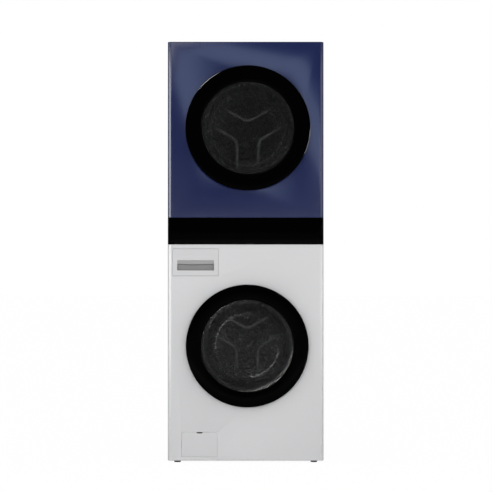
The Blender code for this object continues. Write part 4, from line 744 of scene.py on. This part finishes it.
def paint_edge_highlight(piece, axis):
    """Paints a highlight on the bends of the star: they lose their metal there, so the lamp kept to
    the star lights them as bright lines. (4 r (1 - r))^2 is 1 half way up a side and 0 on a flat.
    """
    count = len(piece.data.vertices)
    places = np.empty(count * 3)
    piece.data.vertices.foreach_get("co", places)
    places = places.reshape(-1, 3)
    rise, fade = star(places[:, 0] - axis[0], places[:, 2] - axis[1])
    painted_edge_highlight = np.clip(4 * rise * (1 - rise), 0, 1) ** 2 * fade
    mark = piece.data.attributes.new("painted_edge_highlight", "FLOAT", "POINT")
    mark.data.foreach_set("value", painted_edge_highlight.astype(np.float32))


def make_drum_back(kind, drum):
    """A spun disc on a polar grid: its height is the star, two steps and a low cone, less a flat
    hub; the shaft stands on its axis."""
    turns = full_turn(288)[:, None]
    reach = np.concatenate([[0.0], np.linspace(0.004, drum.disc, 96)])[None, :]
    x, z = reach * np.cos(turns), reach * np.sin(turns)
    steps = 0.0030 * sum(hump(reach, *band, 0.004) for band in ((0.163, 0.176), (0.192, 0.204)))
    cone_radius, hub_radius = 0.115, 0.0425
    cone = 0.0080 * smooth(1 - reach / cone_radius)
    hub = 0.0012 * ramp((hub_radius - reach) / 0.003)
    rise, fade = star(x, z)
    height = STAR_HEIGHT * rise * fade + steps + cone - hub
    points = np.stack([drum.axis[0] + x, drum.back - height, drum.axis[1] + z], -1)
    piece = add_piece(kind + "_drum_star", swept(points, True), kind + "_drum", "drum_steel",
                      (kind + "_drum_back",), "star_steel", wall=0.0015,
                      inside=(drum.axis[0], drum.back + 1.0, drum.axis[1]))
    # painted highlight along the star's bends
    paint_edge_highlight(piece, drum.axis)
    start, end = drum.back - 0.0225, drum.shaft_end
    section = rounded([(0.0, start), (drum.shaft, start), (drum.shaft, end), (0.0, end)],
                      0.0015, 3, closed=False)
    add_piece(kind + "_drum_shaft", turned(drum.axis, section, 48, closed=False), kind + "_drum",
              "drum_steel", look="hinge_steel")


def make_drum_shell(kind, drum):
    """A profile turned about the axis: a rolled mouth, a bellied front, the long wall with small
    staggered dimples, and the hem round the back."""
    inner, lip_r, front = drum.radius - 0.0015, drum.mouth + 0.001, drum.front
    wall_y = np.linspace(front + 0.022, drum.back - 0.006, 92)
    lead = rounded([(lip_r, front + 0.006), (lip_r, front + 0.0002),
                    (inner - 0.004, front + 0.0002), (inner, front + 0.020)],
                   [0, 0.0035, 0.016, 0.0], 6, closed=False)
    tail = [(inner, drum.back), (inner, drum.back + 0.0115)]
    section = np.concatenate([lead, np.stack([np.full(len(wall_y), inner), wall_y], -1), tail])
    angles = full_turn(360)
    profile = np.repeat(section[None], len(angles), 0)
    across = angles[:, None] * 45 / TURN
    along = (profile[..., 1] - front) / 0.033
    inside = hump(profile[..., 1], front + 0.045, drum.back - 0.035, 0.02)
    dimple = (np.cos(TURN * across) * np.cos(math.pi * along)) ** 2
    profile[..., 0] -= 0.0016 * smooth(dimple * 1.4 - 0.4) * inside
    piece = add_piece(kind + "_drum_wall", swept(around(drum.axis, profile, angles), True),
                      kind + "_drum", "drum_steel", (kind + "_drum_shell",), kind + "_drum_steel",
                      wall=0.0013)
    fix_inward(piece, drum.axis)
    lifters = Surface()
    for spoke in range(3):
        lifters.join(lifter(drum.axis, inner, front + 0.032, drum.back - 0.032,
                            TURN / 4 + spoke * TURN / 3))
    add_piece(kind + "_drum_lifters", lifters, kind + "_drum", "drum_steel", crease=50)


def fix_inward(piece, axis):
    """Turns a drum wall's faces towards the drum's axis, so that its sheet grows outwards."""
    bm = bmesh.new()
    bm.from_mesh(piece.data)
    lean = sum((face.calc_center_median().x - axis[0]) * face.normal.x
               + (face.calc_center_median().z - axis[1]) * face.normal.z for face in bm.faces)
    if lean > 0:
        bmesh.ops.reverse_faces(bm, faces=bm.faces)
    bm.to_mesh(piece.data)
    bm.free()


def lifter(axis, radius, start, end, angle):
    """A ridge on the drum's wall: an arch (half width times a cosine power, height times a sine
    power) carried along the drum, and shrunk to its foot round a quarter circle at both ends."""
    half, height = 0.026, 0.044
    t = np.linspace(-1, 1, 41)[:, None]
    swell = np.sqrt(np.clip(1 - np.abs(t) ** 8, 0.0, 1.0))
    arch = np.linspace(0, math.pi, 21)[None, :]
    side = half * np.sign(np.cos(arch)) * np.abs(np.cos(arch)) ** 0.8
    rise = height * np.sin(arch) ** 0.75
    side = side * (0.35 + 0.65 * swell)
    groove = 0.0012 * (0.5 + 0.5 * np.cos(arch * 24)) * (rise > 0.004)
    tall = (rise - groove) * swell
    out = np.sqrt(radius ** 2 - side ** 2) - 0.0002 - tall
    lean = side * (1 - 0.35 * tall / height)
    y = (start + end) / 2 + t * (end - start) / 2 + 0 * arch
    x = lean * math.sin(angle) + out * math.cos(angle)
    z = -lean * math.cos(angle) + out * math.sin(angle)
    return swept(np.stack([axis[0] + x, y, axis[1] + z], -1), wrap_v=True, ends=True)


# ------------------------------------------------------------ drawer, flap and feet
def lines(*spans):
    """Sorted grid lines: each span is (start, end, how many)."""
    return np.unique(np.round(np.concatenate([np.linspace(*span) for span in spans]), 7))


def make_drawer():
    """A moulded front: a height field over x and z. Its border rolls away by a quarter circle. The
    grip is a well below a curved crest, a slope that runs out to the upper lip, and a lens-shaped
    dip under the middle of that lip. Two thin grey skins paint shade on the slope, and darker shade
    in the well."""
    low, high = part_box("drawer_front")
    grip_x0, grip_x1, grip_z0, grip_z1 = -0.308, -0.142, 0.863, 0.909
    wide, tall, ease = grip_x1 - grip_x0, grip_z1 - grip_z0, 0.0022
    xs = lines((low.x, low.x + ease, 6), (low.x + ease, grip_x0 - 0.006, 6),
               (grip_x0 - 0.006, grip_x0 + 0.014, 26), (grip_x0 + 0.014, grip_x1 - 0.014, 40),
               (grip_x1 - 0.014, grip_x1 + 0.006, 26), (grip_x1 + 0.006, high.x - ease, 6),
               (high.x - ease, high.x, 6))
    zs = lines((low.z, low.z + ease, 6), (low.z + ease, grip_z0 - 0.004, 6),
               (grip_z0 - 0.004, grip_z1 + 0.004, 96), (grip_z1 + 0.004, high.z - ease, 8),
               (high.z - ease, high.z, 6))
    x, z = np.meshgrid(xs, zs, indexing="ij")
    border = np.minimum(np.minimum(x - low.x, high.x - x), np.minimum(z - low.z, high.z - z))
    roll = ease - np.sqrt(np.clip(ease ** 2 - np.clip(ease - border, 0, ease) ** 2, 0, None))
    u, v = (x - grip_x0) / wide, (z - grip_z0) / tall
    bow = (2 * u - 1) ** 2
    well = 0.0120 * ramp((0.62 + 0.05 * bow - v) / 0.10)
    slope = 0.0056 * np.sqrt(np.clip(ramp((1 - v) / 0.42), 0, 1))
    lens = 0.0030 * ramp((v - 0.84 - 0.9 * bow) / 0.10) * ramp((1 - v) / 0.04)
    ends = ramp(v / 0.05) * ramp(np.minimum(u, 1 - u) * wide / 0.0045)
    y = low.y + roll + (well + slope + lens) * ends * (v > -0.05) * (v < 1.02)
    front = np.stack([x, y, z], -1)
    shape = swept(front)
    edge = np.concatenate([front[:, 0], front[-1, 1:], front[-2::-1, -1], front[0, -2:0:-1]])
    back = edge.copy()
    back[:, 1] = high.y
    shape.grid(np.stack([edge, back]), wrap_v=True)
    behind = ((low.x + high.x) / 2, high.y + 0.2, (low.z + high.z) / 2)
    add_piece("drawer_face", shape, "drawer", "white_enamel", ("drawer_front",), wall=0.0022,
              inside=behind, crease=40)
    front[..., 1] = np.maximum(front[..., 1] - 0.0007, low.y)
    columns = (xs > grip_x0 + 0.0005) & (xs < grip_x1 - 0.0005)
    split = grip_z0 + 0.60 * tall
    # painted shade: a lighter grey skin on the slope and a darker one in the well
    for name, rows in (("grip_scoop", (zs > split - 0.0006) & (zs < grip_z1 - 0.0002)),
                       ("grip_floor", (zs > grip_z0 + 0.0004) & (zs < split))):
        add_piece(name, swept(front[columns][:, rows]), "drawer", "grey_plastic", look=name,
                  wall=0.0005, inside=behind)


def make_flap():
    """The service flap: a thin moulded plate with an eased border and a shallow finger notch."""
    low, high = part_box("service_flap")
    centre = (low.x + high.x) / 2
    half, deep, ease = 0.0130, 0.0045, 0.0008
    corners = [(low.x, low.z), (high.x, low.z), (high.x, high.z), (centre + half + 0.001, high.z),
               (centre + half - 0.001, high.z - deep), (centre - half + 0.001, high.z - deep),
               (centre - half - 0.001, high.z), (low.x, high.z)]
    cuts = [0.002, 0.002, 0.003, 0.0015, 0.0015, 0.0015, 0.0015, 0.003]
    outline = rounded(corners, cuts, 4)
    middle = outline.mean(0)
    draw, back = quarter_round(5)
    depth = np.append(low.y + ease * back, high.y)
    tangent = np.roll(outline, -1, 0) - np.roll(outline, 1, 0)
    normal = unit(np.stack([tangent[:, 1], -tangent[:, 0]], -1))
    normal *= np.sign(((outline - middle) * normal).sum(1).mean())
    rows = [in_plane(outline - normal * by, y) for by, y in zip(np.append(ease * draw, 0.0), depth)]
    shape = swept(np.stack(rows), wrap_v=True)
    shape.plate([rows[0]])
    shape.plate([rows[-1]])
    add_piece("flap_plate", shape, "flap", "white_enamel", ("service_flap",), crease=35)


def make_feet():
    """A foot: a ribbed rubber pad that widens upwards, and its threaded stem."""
    pad, pitch = 0.0087, 0.0015
    for place in ("front_left", "front_right", "rear_left", "rear_right"):
        node = "foot_" + place
        low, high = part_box(node)
        x, y, _ = centre_of(low, high)
        radius = (high.x - low.x) / 2
        section = rounded([(0.0, 0.0), (radius * 0.84, 0.0), (radius, pad), (0.005, pad)],
                          [0, 0.001, 0.0008, 0], 4, closed=False)
        up = np.linspace(0, high.z - pad, 90)
        thread = 0.0046 + 0.0004 * np.sin(TURN * up / pitch)
        reach, height = np.concatenate([section, np.stack([thread, pad + up], -1),
                                        [(0.0, high.z)]]).T
        ribbed = (height < 0.008) & (height > 0.001)
        rib = 1 - 0.02 * (np.cos(full_turn(40)[:, None] * 20) > 0) * ribbed
        add_piece(node + "_pad", upright(x, y, reach * rib, height, 40), node + "_body", "rubber",
                  (node,))


# ------------------------------------------------------------ sides, top and rear
def make_sides():
    """A side sheet: a U-shaped outline carried up the height, with two long stamped fields whose
    depth is the product of two eased humps."""
    for word, side in (("left", -1), ("right", 1)):
        low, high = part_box("side_panel_" + word)
        front, rear = low.y, high.y
        inner, stamp, ease = HALF_WIDTH - 0.015, 0.0022, 0.016
        corners = [(inner, front), (HALF_WIDTH, front), (HALF_WIDTH, rear), (inner, rear)]
        bend = rounded(corners, [0, 0.003, 0.003, 0], 5, closed=False)
        flat = lines((front + 0.004, front + 0.055, 3), (front + 0.055, front + 0.075, 9),
                     (front + 0.075, rear - 0.075, 5), (rear - 0.075, rear - 0.055, 9),
                     (rear - 0.055, rear - 0.004, 3))
        near, far = np.split(bend, 2)
        path = np.concatenate([near, np.stack([np.full(len(flat), HALF_WIDTH), flat], -1), far])
        reach, depth = path.T[:, None]
        zs = [(low.z, low.z + 0.055, 3)]
        for bottom, top in ((0.075, 0.925), (1.050, 1.790)):
            zs += [(bottom, bottom + 0.020, 9), (bottom + 0.020, top - 0.020, 5),
                   (top - 0.020, top, 9)]
        zs += [(1.8, high.z, 3)]
        height = lines(*zs)[:, None]
        field = (hump(height, 0.093, 0.907, ease) + hump(height, 1.068, 1.772, ease)) * hump(
            depth, front + 0.072, rear - 0.072, ease)
        x = reach - stamp * field * (reach > HALF_WIDTH - 1e-4)
        points = np.stack([side * x, np.broadcast_to(depth, x.shape),
                           np.broadcast_to(height, x.shape)], -1)
        add_piece("side_sheet_" + word, swept(points), "cabinet", "white_enamel",
                  ("side_panel_" + word,), wall=0.0009, inside=(0, 0, 0.94), crease=45)


def make_top():
    """The lid: rectangular loops drawn in over rolled edges, with one shallow raised field."""
    low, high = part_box("top_cover")
    drop, draw = quarter_round(6)
    ease, field = 0.004, 0.0012
    inset = np.concatenate([[0.0], ease * draw, [0.030, 0.034, 0.040, 0.044]])
    height = np.concatenate([[low.z], high.z - field - ease * drop,
                             [high.z - field, high.z - 0.0009, high.z - 0.0003, high.z]])
    loops = []
    for by, z in zip(inset, height):
        outline = rounded([(low.x + by, low.y + by), (high.x - by, low.y + by),
                           (high.x - by, high.y - by), (low.x + by, high.y - by)],
                          0.004 + 0.3 * by, 5)
        loops.append(np.column_stack([outline, np.full(len(outline), z)]))
    shape = swept(np.stack(loops), wrap_v=True)
    shape.cap(loops[-1])
    add_piece("lid", shape, "cabinet", "white_enamel", ("top_cover",),
              wall=0.0009, inside=(0, 0, 1.0))


def screw(x, y, z, radius=0.0048, count=24):
    """A flanged screw head with a cross recess: a turned dome whose middle is sunk where either of
    the two slots passes."""
    angle = full_turn(count)[:, None]
    reach = np.array([0.0, 0.15, 0.3, 0.45, 0.55, 0.62, 0.7, 0.8, 1.0, 1.0])[None, :] * radius
    rise = np.array([1, 1, 0.99, 0.97, 0.94, 0.90, 0.5, 0.35, 0.3, 0.0])[None, :] * 0.0028
    dx, dz = reach * np.cos(angle), reach * np.sin(angle)
    slot = (np.minimum(np.abs(dx), np.abs(dz)) < radius * 0.12) & (reach < radius * 0.5)
    points = np.stack([x + dx, y + np.where(slot, rise * 0.45, rise), z + dz], -1)
    shape = swept(points, wrap_u=True)
    return shape


def rear_sheet(node, name, field, vents, holes):
    """A rear sheet: a flat face with slots and round holes, and one raised field stamped into it as
    rectangular loops that climb by a fixed height."""
    low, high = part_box(node)
    edge = HALF_WIDTH - 0.0010
    outline = rectangle_loop((-edge, low.z), (edge, high.z), 0.002)(0.0)
    x0, z0, x1, z1 = field
    stamp = rectangle_loop((x0, z0), (x1, z1), 0.016)
    rows = np.stack([in_plane(stamp(by), REAR_Y + rise) for by, rise in
                     ((0.0, 0.0), (-0.0015, 0.0004), (-0.0050, 0.0026), (-0.0065, FIELD_RISE))])
    shape = swept(rows, wrap_v=True)
    flat, raised = [rows[0]], [rows[-1]]

    def pierce(opening, y, deep):
        edges = np.stack([in_plane(opening(by), y - back) for by, back in
                          ((0.0006, 0.0), (0.0002, 0.0002), (0.0, 0.0008), (0.0, deep))])
        shape.grid(edges, wrap_v=True)
        return edges[0]

    for a0, b0, a1, b1 in vents:
        opening = rectangle_loop((a0, b0), (a1, b1), min(a1 - a0, b1 - b0) * 0.49)
        if x0 < a0 and a1 < x1 and z0 < b0 and b1 < z1:
            raised.append(pierce(opening, REAR_Y + FIELD_RISE, 0.0030))
        else:
            flat.append(pierce(opening, REAR_Y, 0.0030))
    for x, z, radius in holes:
        flat.append(pierce(circle_loop((x, z), radius, 40), REAR_Y, 0.0025))
    shape.plate([in_plane(outline, REAR_Y)] + flat)
    shape.plate(raised)
    add_piece(name, shape, "cabinet", "galvanised_steel", (node,), wall=0.0009,
              inside=(0, -5, (low.z + high.z) / 2))


def slots(x0, x1, z, count, width=0.008, tall=0.046):
    """A row of evenly spaced upright slots, as rectangles."""
    pitch = (x1 - x0) / count
    return [(x0 + (i + 0.5) * pitch - width / 2, z, x0 + (i + 0.5) * pitch + width / 2, z + tall)
            for i in range(count)]


def make_rear():
    """The two rear sheets, their screws and the seat of the dryer drum's shaft."""
    valve_low, valve_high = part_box("water_valve")
    gland_x, _, gland_z = centre_of(*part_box("power_gland"))
    middle = (valve_low.z + valve_high.z) / 2
    rear_sheet("rear_panel_lower", "rear_sheet_lower", (-0.260, 0.150, 0.270, 0.840),
               slots(-0.215, 0.225, 0.190, 18) + slots(-0.215, 0.225, 0.756, 18)
               + slots(-0.300, -0.100, 0.050, 8),
               [(valve_low.x + 0.025, middle, 0.0140), (valve_high.x - 0.025, middle, 0.0140),
                (gland_x, gland_z, 0.0110)])
    rear_sheet("rear_panel_upper", "rear_sheet_upper", (-0.250, 1.240, 0.270, 1.780),
               slots(-0.300, 0.300, 1.050, 22) + slots(-0.300, 0.300, 1.120, 22)
               + slots(-0.180, 0.200, 1.690, 14), [])
    heads = Surface()
    for columns, heights in (((-0.338, -0.170, 0.0, 0.170, 0.338), (0.020, 0.988, 1.012, 1.860)),
                             ((-0.338, 0.338), (0.260, 0.500, 0.740, 1.220, 1.430, 1.640))):
        for x in columns:
            for z in heights:
                heads.join(screw(x, REAR_Y - 0.0002, z))
    add_piece("rear_screws", heads, "cabinet", "galvanised_steel", look="hinge_steel", crease=30)
    boss = rounded([(0.0125, 0.366), (0.030, 0.366), (0.030, 0.3985), (0.0125, 0.3985)], 0.001, 3)
    add_piece("rear_bearing", turned(DRYER_AXIS, boss, 48), "cabinet", "galvanised_steel")


# ------------------------------------------------------------ springs and dampers
def make_suspension():
    """On each side a spring, whose coil is a helix that is drawn in at both ends, and a damper of a
    hollow cylinder and a rod."""
    coils, reach, wire = 22, 0.0088, 0.0014
    for word in ("left", "right"):
        low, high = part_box("tub_spring_" + word)
        x, y, _ = centre_of(low, high)
        t = np.linspace(0, 1, 520)
        radius = reach * smooth(np.minimum(t, 1 - t) / 0.03)
        path = np.stack([x + radius * np.cos(TURN * coils * t),
                         y + radius * np.sin(TURN * coils * t),
                         low.z + 0.0016 + t * (high.z - low.z - 0.0032)], -1)
        coil = add_piece("tub_coil_" + word, tube(path, wire, 8), None, "motor_metal",
                         ("tub_spring_" + word,), "hinge_steel", crease=60)
        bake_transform(coil)
        low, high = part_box("tub_damper_" + word)
        x, y, _ = centre_of(low, high)
        well, rod_end, mouth = (low.z + share * (high.z - low.z) for share in (0.2, 0.32, 0.62))
        for name, body, replaced, cut, corners in (
                ("cylinder", "cabinet", ("tub_damper_" + word,), 0.002,
                 [(0.0, low.z), (0.0135, low.z), (0.0135, mouth), (0.0065, mouth),
                  (0.0065, well), (0.0, well)]),
                ("rod", "tub", (), 0.001,
                 [(0.0, rod_end), (0.0055, rod_end), (0.0055, high.z - 0.022),
                  (0.0115, high.z - 0.016), (0.0115, high.z), (0.0, high.z)])):
            reach_z = rounded(corners, cut, 3, closed=False).T
            add_piece(f"tub_damper_{name}_{word}", upright(x, y, *reach_z, 32), body,
                      "grey_plastic", replaced)


CARRIED_OVER = {
    "galvanised_steel": ("base_pan", "middle_deck", "dryer_front_bulkhead"),
    "hinge_steel": ("washer_door_hinge", "dryer_door_hinge", "washer_hinge_bracket",
                    "dryer_hinge_bracket", "motor_shaft"),
    "tub_plastic": ("tub_rear", "tub_front", "drawer_housing", "blower_housing",
                    "heat_exchanger"),
    "grey_plastic": ("drawer_tray", "water_valve", "drain_pump", "drain_filter", "lint_filter",
                     "washer_door_lock", "washer_door_latch"),
    "rubber": ("drive_belt", "power_gland", "drum_roller_left", "drum_roller_right"),
    "cast_concrete": ("counterweight",),
    "motor_metal": ("dryer_motor", "compressor", "motor_rotor"),
    "stator_winding": ("motor_stator",),
}


def dress_frame():
    """Gives each node of the frame that stays in view its own finish."""
    for name, nodes in CARRIED_OVER.items():
        for node in nodes:
            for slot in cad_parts[node].material_slots:
                slot.material = FINISHES[name].material


# ------------------------------------------------------------ stage
WHITE = (1.0, 1.0, 1.0, 1.0)
AMBIENT = 0.58
MIRRORED_Y, MIRRORED_SHADE = (-0.98, -0.84), (0.02, 0.75)
FLOOR_REACH, FLOOR_GLOW, FLOOR_SHARE = 40.0, 1.04, 0.92
SHEEN_COLOUR = (0.59, 0.73, 1.0)


def flood(name, place, aim, size, power, turn=0, piece=None):
    """A rectangular lamp aimed at a point and turned about its own axis; it may be kept to one
    piece, and the camera never sees it."""
    lamp = bpy.data.lights.new(name, "AREA")
    lamp.shape = "RECTANGLE"
    lamp.size, lamp.size_y = size
    lamp.energy = power
    thing = put(name, lamp)
    thing.location = place
    thing.rotation_euler = (Vector(aim) - Vector(place)).to_track_quat("-Z", "Y").to_euler()
    thing.rotation_euler.rotate_axis("Z", math.radians(turn))
    thing.visible_camera = False
    if piece:
        group = bpy.data.collections.new(name + "_on")
        group.objects.link(bpy.data.objects[piece])
        thing.light_linking.receiver_collection = group
    return thing


def make_world():
    """A plain studio: white to the camera, an even light on matt surfaces, and in reflections dim
    straight before the machine and paler all round it."""
    world = bpy.data.worlds.new("studio")
    bpy.context.scene.world = world
    world.use_nodes = True
    tree = world.node_tree
    tree.nodes.clear()
    ray = add_node(tree, "ShaderNodeLightPath").outputs
    where = add_node(tree, "ShaderNodeTexCoord").outputs["Generated"]
    y = add_node(tree, "ShaderNodeSeparateXYZ", {0: where}).outputs["Y"]
    shade = add_node(tree, "ShaderNodeMapRange", {
        0: y, 1: MIRRORED_Y[0], 2: MIRRORED_Y[1], 3: MIRRORED_SHADE[0], 4: MIRRORED_SHADE[1]},
        interpolation_type="SMOOTHSTEP").outputs[0]
    ambient = add_node(tree, "ShaderNodeBackground", {"Color": WHITE, "Strength": AMBIENT})
    mirrored = add_node(tree, "ShaderNodeBackground", {"Strength": shade})
    white = add_node(tree, "ShaderNodeBackground", {"Color": WHITE})
    lit = add_node(tree, "ShaderNodeMixShader", {0: ray["Is Glossy Ray"], 1: ambient.outputs[0],
                                                 2: mirrored.outputs[0]})
    seen = add_node(tree, "ShaderNodeMixShader", {0: ray["Is Camera Ray"], 1: lit.outputs[0],
                                                  2: white.outputs[0]})
    add_node(tree, "ShaderNodeOutputWorld", {"Surface": seen.outputs[0]})


def make_floor():
    """A wide floor that is white to the camera and keeps a little of the machine's shadow."""
    mesh = bpy.data.meshes.new("floor")
    mesh.from_pydata([(x * FLOOR_REACH, y * FLOOR_REACH, 0)
                      for x, y in ((-1, -1), (1, -1), (1, 1), (-1, 1))], [], [(0, 1, 2, 3)])
    material = bpy.data.materials.new("floor_white")
    material.use_nodes = True
    tree = material.node_tree
    tree.nodes.clear()
    ray = add_node(tree, "ShaderNodeLightPath").outputs["Is Camera Ray"]
    share = add_node(tree, "ShaderNodeMath", {0: ray, 1: FLOOR_SHARE}, operation="MULTIPLY")
    matt = add_node(tree, "ShaderNodeBsdfDiffuse", {"Color": (0.8, 0.8, 0.8, 1)})
    glow = add_node(tree, "ShaderNodeEmission", {"Strength": FLOOR_GLOW})
    mix = add_node(tree, "ShaderNodeMixShader", {0: share.outputs[0], 1: matt.outputs[0],
                                                 2: glow.outputs[0]})
    add_node(tree, "ShaderNodeOutputMaterial", {"Surface": mix.outputs[0]})
    mesh.materials.append(material)
    put("floor", mesh)


def make_camera():
    """A long lens straight before the machine, at half its height."""
    sensor, distance, view_width = 36.0, 12.0, 2.209
    data = bpy.data.cameras.new("camera")
    data.sensor_width = sensor
    data.lens = sensor * distance / view_width
    data.clip_end = 100.0
    camera = put("camera", data)
    camera.location = (0.0014, FRONT_Y - distance, 0.9729)
    camera.rotation_euler = (math.pi / 2, 0, 0)
    bpy.context.scene.camera = camera
    bpy.context.scene.view_settings.view_transform = "Standard"


def make_lights():
    """Fills light matt surfaces and aren't mirrored; glints are only mirrored. A lamp's row is its
    name, place, aim, size, power, turn and the one piece that it is kept to."""
    (wx, wz), (dx, dz) = WASHER_AXIS, DRYER_AXIS
    washer, dryer = (wx, FRONT_Y, wz), (dx, FRONT_Y, dz)
    fills = [("light_broad", (-0.1, -7.6, 0.95), (0, FRONT_Y, 0.85), (5.0, 3.5), 262),
             ("dryer_star_light", (dx, -3.4, dz), dryer, (0.5, 0.5), 320, 0, "dryer_drum_star"),
             ("washer_star_light", (wx, -3.4, wz), washer, (0.5, 0.5), 320, 0, "washer_drum_star")]
    glints = [
        ("light_high_left", (-1.6, -6.4, 3.4), (0, -0.4, 1.2), (2.6, 0.8), 40, 40),
        ("light_right", (2.1, -6.2, 1.15), (0, -0.4, 1.1), (0.6, 1.0), 20),
        ("light_sheen", (0.33, -4.375, 1.96), (0.33, 0, 1.96), (2.4, 0.74), 25, -42, "dryer_front")]
    for name, side in (("bowl_glint_low", 0.32), ("bowl_glint_high", -0.32)):
        glints.append((name, (wx + side, FRONT_Y - 1.3, wz - side), washer, (0.62, 0.50), 12, 44,
                       "washer_bowl"))
    for name, across, up, power, turn in (("left", -1.3, 1.6, 1500, 39),
                                          ("right", 2.0, -0.35, 900, 80)):
        glints.append(("ring_glint_" + name, (dx + across, FRONT_Y - 0.55, dz + up), dryer,
                       (0.9, 0.3), power, turn, "dryer_ring"))
    for side, front, power in ((-1, "dryer_front", 930), (-1, "washer_front", 480),
                               (1, "dryer_front", 200), (1, "washer_front", 240)):
        glints.append((f"bank_{front}_{side}", (side * 4.5, -3.0, 1.2),
                       (side * 0.35, FRONT_Y, 1.2), (5.9, 3.5), power, 0, front))
    for row in fills:
        flood(*row).visible_glossy = False
    for row in glints:
        flood(*row).visible_diffuse = False
    bpy.data.lights["light_sheen"].color = SHEEN_COLOUR


# ------------------------------------------------------------ settings
class TowerSizes(bpy.types.PropertyGroup):
    """Sizes of the shaped details."""

    ring_crown: FloatProperty(
        name="Ring crown", description="How far the middle of a door ring's face stands proud",
        default=0.0009, min=0.0, max=0.003, unit="LENGTH")
    window_crown: FloatProperty(
        name="Window crown", description="How far the middle of a door window stands proud",
        default=0.0020, min=0.0, max=0.0024, unit="LENGTH")


class TowerColours(bpy.types.PropertyGroup):
    """Colours of the main finishes."""

    white: FloatVectorProperty(
        name="White enamel", description="Colour of the cabinet and the washer's front",
        subtype="COLOR", size=3, default=(0.66, 0.66, 0.67), min=0.0, max=1.0)
    blue: FloatVectorProperty(
        name="Blue enamel", description="Colour of the dryer's front",
        subtype="COLOR", size=3, default=(0.0110, 0.0178, 0.076), min=0.0, max=1.0)
    black: FloatVectorProperty(
        name="Black gloss", description="Colour of the door rings and the control band",
        subtype="COLOR", size=3, default=(0.0006, 0.0006, 0.0006), min=0.0, max=1.0)
    glass: FloatVectorProperty(
        name="Window tint", description="Colour of the dark windows",
        subtype="COLOR", size=3, default=(0.014, 0.014, 0.0145), min=0.0, max=1.0)


# ------------------------------------------------------------ operators
class TOWER_OT_finishes(bpy.types.Operator):
    """Makes the finishes, and gives the frame's own parts theirs"""

    bl_idname = "tower.finishes"
    bl_label = "Finishes"

    def execute(self, context):
        make_finishes(context.scene.tower_colours)
        dress_frame()
        return {"FINISHED"}


class TOWER_OT_cabinet(bpy.types.Operator):
    """Builds the fronts, the sides, the lid, the rear and the feet"""

    bl_idname = "tower.cabinet"
    bl_label = "Cabinet"

    def execute(self, context):
        make_fronts()
        make_sides()
        make_top()
        make_rear()
        make_feet()
        return {"FINISHED"}


class TOWER_OT_doors(bpy.types.Operator):
    """Builds both round doors"""

    bl_idname = "tower.doors"
    bl_label = "Doors"

    def execute(self, context):
        sizes = context.scene.tower_sizes
        for kind, door in DOORS.items():
            make_ring(kind, door.axis, door.radius, sizes)
            make_window(kind, door.axis, sizes)
            make_bowl(kind, door)
            make_liner(kind, door.axis, door.radius)
        return {"FINISHED"}


class TOWER_OT_drums(bpy.types.Operator):
    """Builds both drums and the washer's bellows"""

    bl_idname = "tower.drums"
    bl_label = "Drums"

    def execute(self, context):
        for kind, drum in DRUMS.items():
            make_drum_shell(kind, drum)
            make_drum_back(kind, drum)
        make_gasket()
        return {"FINISHED"}


class TOWER_OT_fittings(bpy.types.Operator):
    """Builds the detergent drawer's front, the service flap, the springs and the dampers"""

    bl_idname = "tower.fittings"
    bl_label = "Fittings"

    def execute(self, context):
        make_drawer()
        make_flap()
        make_suspension()
        return {"FINISHED"}


class TOWER_OT_stage(bpy.types.Operator):
    """Sets the floor, the lights, the world and the camera"""

    bl_idname = "tower.stage"
    bl_label = "Stage"

    def execute(self, context):
        make_world()
        make_floor()
        make_lights()
        make_camera()
        return {"FINISHED"}


STEPS = (TOWER_OT_finishes, TOWER_OT_cabinet, TOWER_OT_doors, TOWER_OT_drums, TOWER_OT_fittings,
         TOWER_OT_stage)


class TOWER_PT_panel(bpy.types.Panel):
    """Lists the settings and the steps"""

    bl_label = "Laundry Tower"
    bl_idname = "TOWER_PT_panel"
    bl_space_type = "VIEW_3D"
    bl_region_type = "UI"
    bl_category = "Laundry Tower"

    def draw(self, context):
        column = self.layout.column()
        for name in ("ring_crown", "window_crown"):
            column.prop(context.scene.tower_sizes, name)
        for name in ("white", "blue", "black", "glass"):
            column.prop(context.scene.tower_colours, name)
        for step in STEPS:
            column.operator(step.bl_idname)


CLASSES = (TowerSizes, TowerColours) + STEPS + (TOWER_PT_panel,)


def register():
    for cls in CLASSES:
        bpy.utils.register_class(cls)
    bpy.types.Scene.tower_sizes = PointerProperty(type=TowerSizes)
    bpy.types.Scene.tower_colours = PointerProperty(type=TowerColours)


def unregister():
    del bpy.types.Scene.tower_colours
    del bpy.types.Scene.tower_sizes
    for cls in reversed(CLASSES):
        bpy.utils.unregister_class(cls)


def main():
    register()
    bpy.ops.tower.finishes()
    bpy.ops.tower.cabinet()
    bpy.ops.tower.doors()
    bpy.ops.tower.drums()
    bpy.ops.tower.fittings()
    bpy.ops.tower.stage()


if __name__ == "__main__":
    main()
